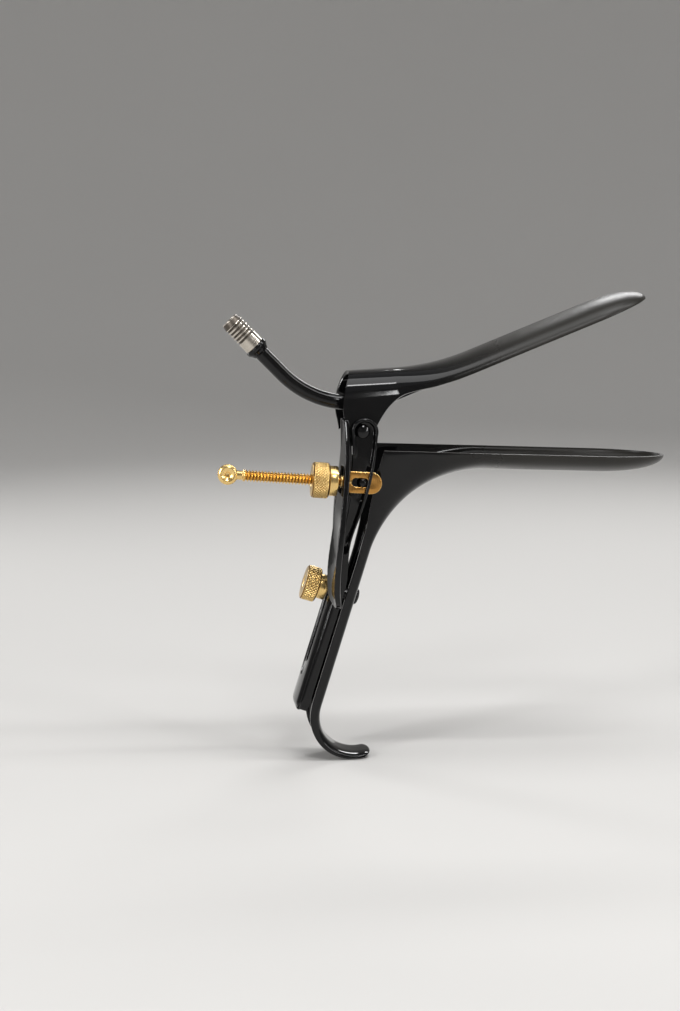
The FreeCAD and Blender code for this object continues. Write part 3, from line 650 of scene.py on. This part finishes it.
def pressedPiece(node, spec):
    piece = pointOut(intoScene(spec["name"], nodes[node].data.copy()))
    grid = piece.modifiers.new("even grid", "REMESH")
    dish = spec.get("dish")
    grid.mode = "VOXEL"
    grid.voxel_size = spec["grid"] * mm
    rounded = piece.modifiers.new("rounded edges", "SMOOTH")
    rounded.factor = 0.5
    rounded.iterations = spec["rounding"]
    flatten(piece)
    if "plate" in spec:
        roundPlate(piece, spec["plate"])
    fewer = piece.modifiers.new("fewer faces", "DECIMATE")
    fewer.ratio = spec["keep"]
    flatten(piece)
    if dish:  # the thumb rest is hollowed on the side where the thumb lies
        for v in piece.data.vertices:
            down = (dish["from"] - v.co.z / mm) / (dish["from"] - dish["to"])
            off = (v.co.y / mm - dish["middle"]) / dish["half"]
            if abs(off) < 1:
                v.co.x += dish["depth"] * mm * eased(down) * (1 - off * off)
    piece.data.shade_smooth()
    print(spec["name"], len(piece.data.polygons), "faces")
    return dress(piece, *inBlack, spec["body"], node)


for node, spec in pressed.items():
    pressedPiece(node, spec)
print("yoke and lever made")


# Turned pieces: a profile of (along, radius) spun about its axis

def lathe(name, profile, round=0.12, segments=96, fine=None):
    soft = []
    count = len(profile)
    hollow = profile[0][1] > 0
    for k, (along, radius) in enumerate(profile):
        before = profile[k - 1] if hollow or k else None
        after = profile[(k + 1) % count] if hollow or k < count - 1 else None
        if round and before and after and radius > 0:
            toBefore = Vector(before) - Vector((along, radius))
            toAfter = Vector(after) - Vector((along, radius))
            cut = min(round, toBefore.length * 0.45, toAfter.length * 0.45)
            if toBefore.length > 1e-6 and toAfter.length > 1e-6:
                a = Vector((along, radius)) + toBefore.normalized() * cut
                b = Vector((along, radius)) + toAfter.normalized() * cut
                middle = (a + b) / 4 + Vector((along, radius)) / 2
                soft += [tuple(a), tuple(middle), tuple(b)]
                continue
        soft.append((along, radius))
    if fine:  # close rings where a pattern is cut
        dense = []
        for (a0, r0), (a1, r1) in zip(soft, soft[1:] + (soft[:1] if hollow else [])):
            dense.append((a0, r0))
            if abs(r1 - r0) < 0.3 and abs(a1 - a0) > 2 * fine:
                parts = int(abs(a1 - a0) / fine)
                dense += [(blend(a0, a1, i / parts), blend(r0, r1, i / parts)) for i in range(1, parts)]
        soft = dense + ([] if hollow else soft[-1:])
    points, rings = [], []
    for along, radius in soft:
        if radius < 1e-6:
            rings.append([len(points)])
            points.append((0.0, 0.0, along))
            continue
        rings.append(list(range(len(points), len(points) + segments)))
        for s in range(segments):
            turn = 2 * math.pi * s / segments
            points.append((radius * math.cos(turn), radius * math.sin(turn), along))
    faces = []
    pairs = list(zip(rings[:-1], rings[1:])) + ([(rings[-1], rings[0])] if hollow else [])
    for near, far in pairs:
        for s in range(segments):
            t = (s + 1) % segments
            if len(near) == 1 and len(far) == 1:
                continue
            if len(near) == 1:
                faces.append((near[0], far[s], far[t]))
            elif len(far) == 1:
                faces.append((near[s], far[0], near[t]))
            else:
                faces.append((near[s], far[s], far[t], near[t]))
    return shadeSmooth(pointOut(meshPiece(name, points, faces)))


def put(piece, origin, direction):  # stands a lathe shape on its axis
    turn = Vector((0, 0, 1)).rotation_difference(Vector(direction)).to_matrix().to_4x4()
    piece.data.transform(Matrix.Translation(Vector(origin) * mm) @ turn)
    return piece


def turnedPiece(name, profile, origin, way, finish, body, node, soft=0.12, segments=96):
    return dress(put(lathe(name, profile, soft, segments), origin, way), *finish, body, node)


# Patterns cut by Geometry Nodes: their measures are named inputs

def newTree(name, measures, paints):
    tree = bpy.data.node_groups.new(name, "GeometryNodeTree")
    for way in ("INPUT", "OUTPUT"):
        tree.interface.new_socket("Geometry", in_out=way, socket_type="NodeSocketGeometry")
    for labels, kind in ((measures, "NodeSocketFloat"), (paints, "NodeSocketMaterial")):
        for label in labels:
            tree.interface.new_socket(label, in_out="INPUT", socket_type=kind)
    given, out = tree.nodes.new("NodeGroupInput").outputs, tree.nodes.new("NodeGroupOutput").inputs
    return tree, given, out, partial(calc, tree)


def addNode(tree, kind, **sockets):
    step = tree.nodes.new(kind)
    for label, value in sockets.items():
        socket = step.inputs[label.replace("_", " ")]
        if isinstance(value, bpy.types.NodeSocket):
            wire(tree, value, socket)
        else:
            socket.default_value = value
    return step


def runTree(piece, tree, lengths, others):  # sets the inputs by identifier, then keeps the plain mesh
    values = dict(others, **{label: size * mm for label, size in lengths.items()})
    modifier = piece.modifiers.new(tree.name, "NODES")
    modifier.node_group = tree
    for item in tree.interface.items_tree:
        if item.in_out == "INPUT" and item.name in values:
            modifier[item.identifier] = values[item.name]
    return flatten(piece)


def barrelPoint(tree, do):  # where each point lies, and how far from the turning axis
    place = tree.nodes.new("GeometryNodeInputPosition").outputs[0]
    axes = addNode(tree, "ShaderNodeSeparateXYZ", Vector=place).outputs
    squares = [do("MULTIPLY", axes[way], axes[way]) for way in ("X", "Y")]
    return axes, do("SQRT", do("ADD", *squares))


cut = {  # in mm, but for the shares
    "fade": 0.15,  # over which the knurl runs out at the barrel's ends
    "skin": 0.06,  # how far below the barrel the knurl still cuts
    "skinFade": 0.05,
    "grooveSkin": 0.03,
    "flatTop": 1.4,  # flattens the diamonds' points
    "shadeFrom": 0.5,  # share of the depth from which the painted shade starts
    "shadeTo": 1.04,
}


def carve(tree, given, out, do, axes, radius, sink, paintedShade):
    # sinks the surface towards the axis and lays one finish all over, with painted shade low in the cuts
    share = do("DIVIDE", sink, do("MAXIMUM", radius, 0.01 * mm))
    flat = addNode(tree, "ShaderNodeCombineXYZ", X=axes["X"], Y=axes["Y"]).outputs[0]
    shift = tree.nodes.new("ShaderNodeVectorMath")
    shift.operation = "SCALE"
    wire(tree, flat, shift.inputs[0])
    wire(tree, do("MULTIPLY", share, -1.0), shift.inputs["Scale"])
    moved = addNode(tree, "GeometryNodeSetPosition", Geometry=given["Geometry"], Offset=shift.outputs[0])
    real = addNode(tree, "GeometryNodeRealizeInstances", Geometry=moved.outputs[0])
    painted = addNode(tree, "GeometryNodeSetMaterial", Geometry=real.outputs[0],
                      Material=given["Material"])
    sunk = do("SUBTRACT", given["Barrel Radius"], radius)
    low = do("MULTIPLY", do("GREATER_THAN", sunk, do("MULTIPLY", given["Depth"], cut["shadeFrom"])),
             do("LESS_THAN", sunk, do("MULTIPLY", given["Depth"], cut["shadeTo"])))
    facing = tree.nodes.new("GeometryNodeInputNormal").outputs[0]
    facing = addNode(tree, "ShaderNodeSeparateXYZ", Vector=facing).outputs
    outward = do("LESS_THAN", do("ABSOLUTE", facing["Z"]), 0.9)
    shaded = addNode(tree, "GeometryNodeSetMaterial", Geometry=painted.outputs[0],
                     Material=given[paintedShade], Selection=do("MULTIPLY", low, outward))
    wire(tree, shaded.outputs[0], out[0])
    return tree


def knurlTree():
    measures = ("Teeth", "Row Pitch", "Depth", "Start", "End", "Barrel Radius", "Cross Cut")
    tree, given, out, do = newTree("diamond knurl", measures, ("Material", "Valley Shade Material"))
    axes, radius = barrelPoint(tree, do)
    turn = do("ARCTAN2", axes["Y"], axes["X"])
    around = do("MULTIPLY", turn, do("MULTIPLY", given["Teeth"], 0.5))
    along = do("DIVIDE", do("MULTIPLY", axes["Z"], math.pi), given["Row Pitch"])
    waves = [do("ABSOLUTE", do("SINE", do(way, around, along))) for way in ("ADD", "SUBTRACT")]
    lightCut = do("MAXIMUM", waves[1], do("SUBTRACT", 1.0, given["Cross Cut"]))
    height = do("MINIMUM", do("MULTIPLY", do("MINIMUM", waves[0], lightCut), cut["flatTop"]), 1.0)
    ends = (do("SUBTRACT", axes["Z"], given["Start"]), do("SUBTRACT", given["End"], axes["Z"]))
    inside = do("MINIMUM", *[do("DIVIDE", gap, cut["fade"] * mm) for gap in ends])
    skin = do("SUBTRACT", given["Barrel Radius"], cut["skin"] * mm)
    onBarrel = do("DIVIDE", do("SUBTRACT", radius, skin), cut["skinFade"] * mm)
    mask = do("MAXIMUM", do("MINIMUM", do("MINIMUM", inside, onBarrel), 1.0), 0.0)
    sink = do("MULTIPLY", do("MULTIPLY", do("SUBTRACT", 1.0, height), given["Depth"]), mask)
    return carve(tree, given, out, do, axes, radius, sink, "Valley Shade Material")


def grooveTree():
    measures = ("Start", "Pitch", "Count", "Width", "Depth", "Barrel Radius")
    tree, given, out, do = newTree("ring grooves", measures, ("Material", "Groove Shade Material"))
    axes, radius = barrelPoint(tree, do)
    steps = do("DIVIDE", do("SUBTRACT", axes["Z"], given["Start"]), given["Pitch"])
    within = do("MULTIPLY", do("GREATER_THAN", steps, 0.0), do("LESS_THAN", steps, given["Count"]))
    offCentre = do("ABSOLUTE", do("SUBTRACT", do("FRACT", steps), 0.5))
    reach = do("DIVIDE", do("MULTIPLY", offCentre, do("MULTIPLY", given["Pitch"], 2.0)), given["Width"])
    bowl = do("SQRT", do("MAXIMUM", do("SUBTRACT", 1.0, do("MULTIPLY", reach, reach)), 0.0))
    skin = do("SUBTRACT", given["Barrel Radius"], cut["grooveSkin"] * mm)
    within = do("MULTIPLY", do("MULTIPLY", bowl, given["Depth"]), within)
    sink = do("MULTIPLY", within, do("GREATER_THAN", radius, skin))
    return carve(tree, given, out, do, axes, radius, sink, "Groove Shade Material")


def threadTree():
    measures = ("Length", "Pitch", "Crest Radius", "Depth")
    tree, given, out, do = newTree("screw thread", measures, ("Material", "Root Shade Material"))
    root = do("SUBTRACT", given["Crest Radius"], given["Depth"])
    turns = do("DIVIDE", given["Length"], given["Pitch"])
    helix = addNode(tree, "GeometryNodeCurveSpiral", Resolution=36, Rotations=turns, Start_Radius=root,
                    End_Radius=root, Height=given["Length"])
    helix.inputs["Reverse"].default_value = False
    upright = addNode(tree, "GeometryNodeSetCurveNormal", Curve=helix.outputs[0])
    upright.mode = "Z_UP"
    ridge = tree.nodes.new("GeometryNodeCurvePrimitiveQuadrilateral")
    ridge.mode = "KITE"
    wire(tree, do("MULTIPLY", given["Depth"], 2.0), ridge.inputs["Width"])
    for side in ("Bottom Height", "Top Height"):
        wire(tree, do("MULTIPLY", given["Pitch"], 0.39), ridge.inputs[side])
    thread = addNode(tree, "GeometryNodeCurveToMesh", Curve=upright.outputs[0],
                     Profile_Curve=ridge.outputs[0], Fill_Caps=True)
    core = addNode(tree, "GeometryNodeMeshCylinder", Vertices=72, Depth=given["Length"],
                   Radius=do("ADD", root, 0.04 * mm))
    lift = addNode(tree, "ShaderNodeCombineXYZ", Z=do("MULTIPLY", given["Length"], 0.5))
    stood = addNode(tree, "GeometryNodeTransform", Geometry=core.outputs[0], Translation=lift.outputs[0])
    joined = tree.nodes.new("GeometryNodeJoinGeometry")
    # the core between the thread's ridges is painted with shade
    for shape, finish in ((stood, "Root Shade Material"), (thread, "Material")):
        painted = addNode(tree, "GeometryNodeSetMaterial", Geometry=shape.outputs[0], Material=given[finish])
        wire(tree, painted.outputs[0], joined.inputs[0])
    real = addNode(tree, "GeometryNodeRealizeInstances", Geometry=joined.outputs[0])
    wire(tree, real.outputs[0], out[0])
    return tree


knurl, groove, screw = knurlTree(), grooveTree(), threadTree()
print("pattern trees built")


# The threaded rod with its slotted eye plate and its dished round eye

rodSpec = {
    "pin": (-0.2, -19.2, -18.3),
    "rise": 4.2,
    "length": 48.2,
    "radius": 2.25,
    "pitch": 1.15,
    "threadDepth": 0.74,
    "start": 6.4,
    "neck": 1.9,
    "neckRadius": 1.6,
    "endRadius": 3.59,
    "endHalf": 1.5,
    "plate": {"front": 7.0, "rear": 5.0, "half": 3.9, "thick": 1.1, "slotFront": 2.2, "slotRear": 3.9,
              "slotHalf": 1.55, "rearCorner": 0.8, "soft": 0.3},
}
rise = math.radians(rodSpec["rise"])
rodWay = Vector((-math.cos(rise), 0.0, math.sin(rise)))


def rodPoint(along):
    return Vector(rodSpec["pin"]) + rodWay * along


def arcPoints(cx, cy, radius, first, last, count):
    return [(cx + radius * math.cos(math.radians(first + (last - first) * k / count)),
             cy + radius * math.sin(math.radians(first + (last - first) * k / count)))
            for k in range(count + 1)]


def plateFromOutlines(name, outlines, thick, soft):
    curve = bpy.data.curves.new(name + " outline", "CURVE")
    curve.dimensions = "2D"
    curve.fill_mode = "BOTH"
    curve.extrude = (thick / 2 - soft) * mm
    curve.bevel_depth = soft * mm
    curve.bevel_resolution = 2
    curve.offset = -soft * mm
    for outline in outlines:
        line = curve.splines.new("POLY")
        line.points.add(len(outline) - 1)
        for point, (x, y) in zip(line.points, outline):
            point.co = (x * mm, y * mm, 0.0, 1.0)
        line.use_cyclic_u = True
    holder = intoScene(name + " curve", curve)
    bpy.context.view_layer.update()
    graph = bpy.context.evaluated_depsgraph_get()
    mesh = bpy.data.meshes.new_from_object(holder.evaluated_get(graph))
    bpy.data.objects.remove(holder)
    return shadeSmooth(pointOut(intoScene(name, mesh)))


def makeRod():
    r, p = rodSpec, rodSpec["plate"]
    corner = p["rearCorner"]
    inX, inY = corner - p["rear"], p["half"] - corner
    outline = arcPoints(p["front"] - p["half"], 0, p["half"], -90, 90, 40)
    outline += arcPoints(inX, inY, corner, 90, 180, 8) + arcPoints(inX, -inY, corner, 180, 270, 8)
    slot = arcPoints(p["slotFront"] - p["slotHalf"], 0, p["slotHalf"], -90, 90, 24)
    slot += arcPoints(p["slotHalf"] - p["slotRear"], 0, p["slotHalf"], 90, 270, 24)
    plate = plateFromOutlines("rod_eye_plate", [outline, slot[::-1]], p["thick"], p["soft"])
    # the outline's x runs ahead, its y up and its thickness across
    stand = Matrix(((math.cos(rise), math.sin(rise), 0, 0), (0, 0, 1, 0),
                    (-math.sin(rise), math.cos(rise), 0, 0), (0, 0, 0, 1)))
    plate.data.transform(Matrix.Translation(Vector(r["pin"]) * mm) @ stand)
    shadeSmooth(pointOut(plate))
    dress(plate, *inGold, "rod", "threaded_rod")
    plate.data.materials.append(paintedFaceShade)
    for face in plate.data.polygons:  # painted shade: the flat faces are coloured darker than the edges, for the dark surroundings they reflect
        face.material_index = 1 if abs(face.normal.y) > 0.95 else 0

    start, crest = r["start"], r["radius"]
    shaftEnd = r["length"] - r["endRadius"] - r["neck"]
    root = [(start - 2.6, 0), (start - 2.6, 0.7), (start - 0.4, crest - 0.25), (start + 0.4, crest - 0.1),
            (start + 1.4, crest - 0.1), (start + 1.4, 0)]
    turnedPiece("rod_root", root, rodPoint(0), rodWay, inGold, "rod", "threaded_rod", 0.1, 64)
    thread = meshPiece("rod_thread", [(0, 0, 0), (0.1, 0, 0), (0, 0.1, 0)], [(0, 1, 2)])
    # the thread's core wears painted shade in its roots
    runTree(thread, screw, {"Length": shaftEnd - start - 1.0, "Pitch": r["pitch"], "Crest Radius": crest,
                            "Depth": r["threadDepth"]}, {"Material": gold, "Root Shade Material": paintedRootShade})
    shadeSmooth(thread, 50)
    dress(put(thread, rodPoint(start + 0.8), rodWay), None, "gold", "rod", "threaded_rod")
    print("thread made")
    neckEnd = r["length"] - r["endRadius"] + 0.5
    neck = [(shaftEnd - 0.6, 0), (shaftEnd - 0.6, crest - 0.3), (shaftEnd, crest - 0.1),
            (shaftEnd + 0.3, r["neckRadius"]), (neckEnd, r["neckRadius"]), (neckEnd, 0)]
    turnedPiece("rod_neck", neck, rodPoint(0), rodWay, inGold, "rod", "threaded_rod", 0.12, 64)
    half, wide = r["endHalf"], r["endRadius"]
    eye = [(-0.1, 0), (-0.1, 0.85), (-0.85, 0.9), (-half, wide - 1.25), (-half, wide - 0.9),
           (-half + 0.5, wide)]
    eye += [(-along, radius) for along, radius in reversed(eye)]
    turnedPiece("rod_round_eye", eye, rodPoint(r["length"]), (0, 1, 0), inGold, "rod", "threaded_rod", 0.22)


makeRod()

nutSpec = {"seat": 12.1, "gap": 0.05, "radius": 6.4, "length": 6.2, "chamfer": 0.6,
           "collarRadius": 5.4, "collarLength": 3.0, "bore": 2.3, "teeth": 36.0, "rowPitch": 1.1,
           "knurlDepth": 0.3, "cross": 0.8}
knobSpec = {"down": 60.0, "seat": 0.3, "gap": 0.05, "radius": 6.4, "length": 5.4, "chamfer": 0.5,
            "collarRadius": 4.6, "collarLength": 3.6, "studRadius": 2.2, "dish": 1.4, "teeth": 32.0,
            "rowPitch": 1.26, "knurlDepth": 0.36, "cross": 0.45}
clampWay = Vector((-math.cos(lean), 0.0, math.sin(lean)))  # back from the plate, square to the handle


def knurledBarrel(name, profile, spec, start, end, finish):
    piece = lathe(name, profile, 0.1, int(spec["teeth"]) * 10, fine=0.1)
    # the knurl's valleys get painted shade
    runTree(piece, knurl, {"Row Pitch": spec["rowPitch"], "Depth": spec["knurlDepth"],
                           "Start": start + spec["chamfer"], "End": end - spec["chamfer"],
                           "Barrel Radius": spec["radius"]},
            {"Teeth": spec["teeth"], "Cross Cut": spec["cross"], "Material": finish,
             "Valley Shade Material": paintedRootShade})
    return shadeSmooth(piece, 70)


def makeNut():
    n = nutSpec
    seat, bore, wide, chamfer = n["seat"], n["bore"], n["radius"], n["chamfer"]
    first, last, end = seat - n["collarLength"], seat - n["gap"], seat + n["length"]
    collar = [(first, bore), (first, n["collarRadius"]), (last, n["collarRadius"]), (last, bore)]
    turnedPiece("nut_bearing_collar", collar, rodPoint(0), rodWay, inGold, "rod_collar", "nut_collar", 0.35)
    profile = [(seat, bore), (seat, wide - chamfer), (seat + chamfer, wide), (end - chamfer, wide),
               (end, wide - chamfer), (end, bore + 0.5), (end - 0.5, bore)]
    barrel = knurledBarrel("knurled_nut", profile, n, seat, end, gold)
    dress(put(barrel, rodPoint(0), rodWay), None, "gold", "rod_nut", "rod_nut")


makeNut()
print("rod and nut made")


def makeClamp():
    k = knobSpec
    low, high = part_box("clamp_collar")
    centre = (low + high) / 2 / mm
    base = Vector((centre.x, 0.0, centre.z)) - clampWay * (k["collarLength"] + k["seat"]) / 2
    first, last, bore = k["seat"], k["collarLength"], k["studRadius"] + k["gap"]
    collar = [(first, bore), (first, k["collarRadius"]), (last, k["collarRadius"]), (last, bore)]
    turnedPiece("clamp_bearing_collar", collar, base, clampWay, inClampGold, "clamp", "clamp_collar", 0.35)
    start, end, wide, chamfer = last + k["gap"], last + k["length"], k["radius"], k["chamfer"]
    profile = [(end - k["dish"], 0.0), (end - k["dish"], bore), (start, bore), (start, wide - chamfer),
               (start + chamfer, wide), (end - chamfer, wide), (end, wide - chamfer), (end, 2.6),
               (end - 0.25, 2.2), (end - 0.25, 0.0)]
    knob = knurledBarrel("knurled_clamp_knob", profile, k, start, end, clampGold)
    dress(put(knob, base, clampWay), None, "gold", "clamp", "clamp_knob")


makeClamp()
print("clamp made")


# Black round pieces: the hinge screws, the eye's pin and the stud

pivotSpec = {"web": 18.3, "head": 1.6, "headRadius": 2.5, "dome": 0.55, "radius": 1.75, "inside": 14.7,
             "tailRadius": 2.4, "tail": 0.8}


def makeScrews():
    p = pivotSpec
    top, under, rim = p["web"] + p["head"], p["web"] + 0.02, p["headRadius"]
    edge, tail = top - p["dome"], p["tailRadius"]
    nearInside = p["inside"] - 2.0  # the near screw also goes through the lever's tab
    for hand, node, inside in ((-1, "pivot_screw_near", nearInside), (1, "pivot_screw_far", p["inside"])):
        profile = [(top, 0), (top - 0.05, 0.9), (edge, rim - 0.25), (edge - 0.3, rim), (under, rim),
                   (under, p["radius"]), (inside, p["radius"]), (inside, tail),
                   (inside - p["tail"], tail - 0.3), (inside - p["tail"], 0)]
        turnedPiece(node.replace("screw", "rivet"), profile, (0, 0, 0), (0, hand, 0), inBlack, "frame",
                    node, 0.25)


makeScrews()
studSpec = {"front": 18.83, "head": 1.5, "proud": 0.5, "headRadius": 3.0, "radius": 2.2, "end": 18.9}


def makeStudAndPin():
    t, pin = studSpec, rodSpec["pin"]
    front = fromHandle(t["front"], -knobSpec["down"])
    high, head, rim = -t["proud"], t["head"] + 0.05, t["headRadius"]
    stud = [(high, 0), (high + 0.06, 1.2), (high + 0.45, rim - 0.45), (high + 1.0, rim), (head, rim),
            (head, t["radius"]), (t["end"], t["radius"]), (t["end"], 0)]
    turnedPiece("clamp_stud_domed", stud, (front[0], 0.0, front[1]), clampWay, inBlack, "handle",
                "clamp_stud", 0.2)
    stem = [(16.85, 0), (16.85, 1.5), (19.9, 1.5), (20.2, 1.35), (20.45, 0.9), (20.5, 0)]
    turnedPiece("eye_pivot_pin", stem, (pin[0], 0.0, pin[2]), (0, -1, 0), inBlack, "frame", "rod_eye_pin",
                0.15)


makeStudAndPin()


# The air tube, its flared socket and the hose nipple

tubeSpec = {
    "radius": 2.75,
    "bore": 2.0,
    "blindEnd": 103.0,  # along the level roof
    "turnX": 6.0,
    "rise": (-16.6, 8.7),
    "top": (-36.2, 28.6),
    "bendRadius": 35.0,
    "bendSteps": 24,
    "edge": 0.2,
    "socketRadius": 4.3,
    "nipple": {"foot": 1.4, "length": 13.2, "radius": 3.8, "bore": 1.6, "endRadius": 3.1, "chamfer": 2.4,
               "grooveStart": 4.4, "groovePitch": 1.4, "grooveCount": 5, "grooveWidth": 0.78,
               "grooveDepth": 0.5},
}


def tubePath():
    t = tubeSpec
    underRoof = upperBlade["rim"] + upperBlade["depth"] - layout["sheet"] - t["radius"] + 0.05
    tilt = math.radians(layout["opening"])
    away, up = math.cos(tilt), math.sin(tilt)
    start = Vector((t["blindEnd"] * away - underRoof * up, t["blindEnd"] * up + underRoof * away))
    levelX = (t["turnX"] + underRoof * up) / away
    turn = Vector((t["turnX"], levelX * up + underRoof * away))
    corners = [start, turn, Vector(t["rise"]), Vector(t["top"])]
    path = [start]
    for k in (1, 2):
        before = (corners[k - 1] - corners[k]).normalized()
        after = (corners[k + 1] - corners[k]).normalized()
        half = before.angle(after) / 2
        toCentre = t["bendRadius"] / math.sin(half)
        centre = corners[k] + (before + after).normalized() * toCentre
        first = corners[k] + before * (t["bendRadius"] / math.tan(half)) - centre
        last = corners[k] + after * (t["bendRadius"] / math.tan(half)) - centre
        sweep = first.angle_signed(last)
        for s in range(t["bendSteps"] + 1):
            turnBy = -sweep * s / t["bendSteps"]
            path.append(centre + Vector((first.x * math.cos(turnBy) - first.y * math.sin(turnBy),
                                         first.x * math.sin(turnBy) + first.y * math.cos(turnBy))))
    return path + [corners[3]]


def sweepTube(name, path, radius, bore, segments=64):
    points, rings = [], []

    def ring(centre, way, r):
        side = Vector((-way.y, way.x))
        rings.append(list(range(len(points), len(points) + segments)))
        for s in range(segments):
            a = 2 * math.pi * s / segments
            off = side * r * math.cos(a)
            points.append((centre.x + off.x, r * math.sin(a), centre.y + off.y))

    ways = []
    for k in range(len(path)):
        a, b = path[max(0, k - 1)], path[min(len(path) - 1, k + 1)]
        ways.append((b - a).normalized())
    edge = tubeSpec["edge"]
    ring(path[0], ways[0], radius - edge)
    ring(path[0] + ways[0] * edge, ways[0], radius)
    for centre, way in list(zip(path, ways))[1:-1]:
        ring(centre, way, radius)
    ring(path[-1] - ways[-1] * edge, ways[-1], radius)
    ring(path[-1], ways[-1], radius - edge)
    ring(path[-1], ways[-1], bore)
    for centre, way in reversed(list(zip(path, ways))[1:-1]):
        ring(centre, way, bore)
    ring(path[0], ways[0], bore)
    faces = []
    for near, far in zip(rings, rings[1:] + rings[:1]):
        for s in range(segments):
            t = (s + 1) % segments
            faces.append((near[s], near[t], far[t], far[s]))
    return shadeSmooth(pointOut(meshPiece(name, points, faces)))


def makeTube():
    t, n = tubeSpec, tubeSpec["nipple"]
    path = tubePath()
    tube = sweepTube("air_tube_bent", path, t["radius"], t["bore"])
    dress(tube, *inBlack, "upper", "air_tube")
    end, way = path[-1], (path[-1] - path[-2]).normalized()
    origin, way = (end.x, 0.0, end.y), (way.x, 0.0, way.y)
    inner, wide, foot = t["radius"] - 0.1, t["socketRadius"], n["foot"]
    socket = [(-2.0, inner), (-2.0, t["radius"] + 0.3), (-0.7, wide - 0.6), (0.1, wide), (1.1, wide),
              (foot, wide - 0.25), (foot, inner)]
    turnedPiece("flared_tube_socket", socket, origin, way, inBlack, "upper", "tube_ring", 0.3)
    tip, seat, plug = foot + n["length"], foot + 0.02, t["radius"] - 0.15
    profile = [(0.0, n["bore"]), (0.0, plug), (seat, plug), (seat, n["radius"]),
               (tip - n["chamfer"], n["radius"]), (tip, n["endRadius"]), (tip, n["bore"] + 0.3),
               (tip - 0.3, n["bore"])]
    nipple = lathe("grooved_hose_nipple", profile, 0.2, 128, fine=0.05)
    # the nipple's grooves get painted shade
    runTree(nipple, groove, {"Start": foot + n["grooveStart"] - 0.4, "Pitch": n["groovePitch"],
                             "Width": n["grooveWidth"], "Depth": n["grooveDepth"],
                             "Barrel Radius": n["radius"]},
            {"Count": float(n["grooveCount"]), "Material": steel, "Groove Shade Material": paintedGrooveShade})
    shadeSmooth(nipple, 50)
    dress(put(nipple, origin, way), None, "nipple_steel", "upper", "hose_nipple")


makeTube()
print("tube and nipple made")


# Floor, light and camera

studio = {
    "floor": (0.60, 0.59, 0.575),
    "floorGap": 0.0004,  # metres, below the hook's lowest point
    "floorRadius": 1.05,  # metres, to where the sweep starts to rise
    "rise": 0.9,
    "wallTop": 2.6,
    "sky": 0.30,
    "aim": (0.0, 0.0, -0.02),  # where every lamp looks
    "lamps": {  # place, size across and along, power and the way the long side runs
        "front softbox": ((0.09, -0.56, 0.51), (0.13, 0.15), 1.3, (1.0, 0.0, 0.0)),
        "tall left softbox": ((-0.66, -0.50, 0.24), (0.11, 0.50), 3.0, (0.0, 0.0, 1.0)),
        "tall right strip": ((0.60, -0.62, 0.20), (0.05, 0.44), 1.3, (0.0, 0.0, 1.0)),
        "long strip overhead": ((0.45, -0.28, 0.80), (0.07, 1.10), 4.4, (1.0, 0.0, 0.0)),
        "top window": ((-0.05, -0.10, 1.05), (0.60, 0.90), 4.5, (1.0, 0.0, 0.0)),
        "left rear strip": ((-0.54, 0.60, 0.18), (0.10, 0.42), 1.3, (0.0, 0.0, 1.0)),
        "rear edge": ((0.34, 0.78, 0.50), (0.10, 0.50), 3.0, (1.0, 0.0, 0.0)),
    },
}


def makeStudio():
    t = studio
    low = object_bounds()[0].z - t["floorGap"]
    profile = [(0.0, low), (0.35, low), (0.7, low), (t["floorRadius"], low)]
    profile += [(t["floorRadius"] + t["rise"] * math.sin(a), low + t["rise"] * (1 - math.cos(a)))
                for a in [math.pi / 2 * k / 24 for k in range(1, 25)]]
    profile.append((t["floorRadius"] + t["rise"], t["wallTop"]))
    around = 128
    points, faces = [(0.0, 0.0, low)], []
    turns = [2 * math.pi * s / around for s in range(around)]
    for radius, z in profile[1:]:
        points += [(radius * math.cos(turn), radius * math.sin(turn), z) for turn in turns]
    for ring in range(len(profile) - 1):
        near, far = 1 + (ring - 1) * around, 1 + ring * around
        for s in range(around):
            nextOne = (s + 1) % around
            if ring == 0:
                faces.append((0, far + s, far + nextOne))
            else:
                faces.append((near + s, far + s, far + nextOne, near + nextOne))
    sweep = meshPiece("pale_sweep", points, faces, 1.0)
    sweep.data.shade_smooth()
    material, tree, shader, place = newMaterial("matt studio paper")
    wire(tree, blendColour(tree, grain(tree, place, 3.0, 2.0), t["floor"],
                           tuple(c * 0.97 for c in t["floor"])), shader.inputs["Base Color"])
    shader.inputs["Roughness"].default_value = 0.9
    sweep.data.materials.append(material)
    world = bpy.data.worlds.new("soft studio")
    world.use_nodes = True
    sky = world.node_tree.nodes["Background"].inputs
    sky["Color"].default_value = (0.97, 0.98, 1.0, 1.0)
    sky["Strength"].default_value = t["sky"]
    bpy.context.scene.world = world
    for name, (spot, size, power, long) in t["lamps"].items():
        light = bpy.data.lights.new(name, "AREA")
        light.shape = "RECTANGLE"
        light.size, light.size_y = size
        light.energy = power
        lamp = intoScene(name, light)
        lamp.location = spot
        back = (lamp.location - Vector(t["aim"])).normalized()
        up = Vector(long)
        up = (up - back * up.dot(back)).normalized()
        lamp.rotation_euler = Matrix((up.cross(back), up, back)).transposed().to_euler()
        lamp.visible_camera = False


cameraSpec = {"azimuth": -6.0, "elevation": 7.2, "distance": 750.0, "target": (-6.26, 0.0, -28.82),
              "lens": 72.9}


def makeCamera():
    c = cameraSpec
    a, e = math.radians(c["azimuth"]), math.radians(c["elevation"])
    back = Vector((math.sin(a) * math.cos(e), -math.cos(a) * math.cos(e), math.sin(e)))
    data = bpy.data.cameras.new("photo view")
    data.lens = c["lens"]
    camera = intoScene("photo view", data)
    camera.location = (Vector(c["target"]) + back * c["distance"]) * mm
    camera.rotation_euler = (-back).to_track_quat("-Z", "Y").to_euler()
    data.clip_start, data.clip_end = 0.01, 20.0
    bpy.context.scene.camera = camera


makeStudio()
makeCamera()
bpy.context.scene.view_settings.view_transform = "Standard"
print("studio ready")
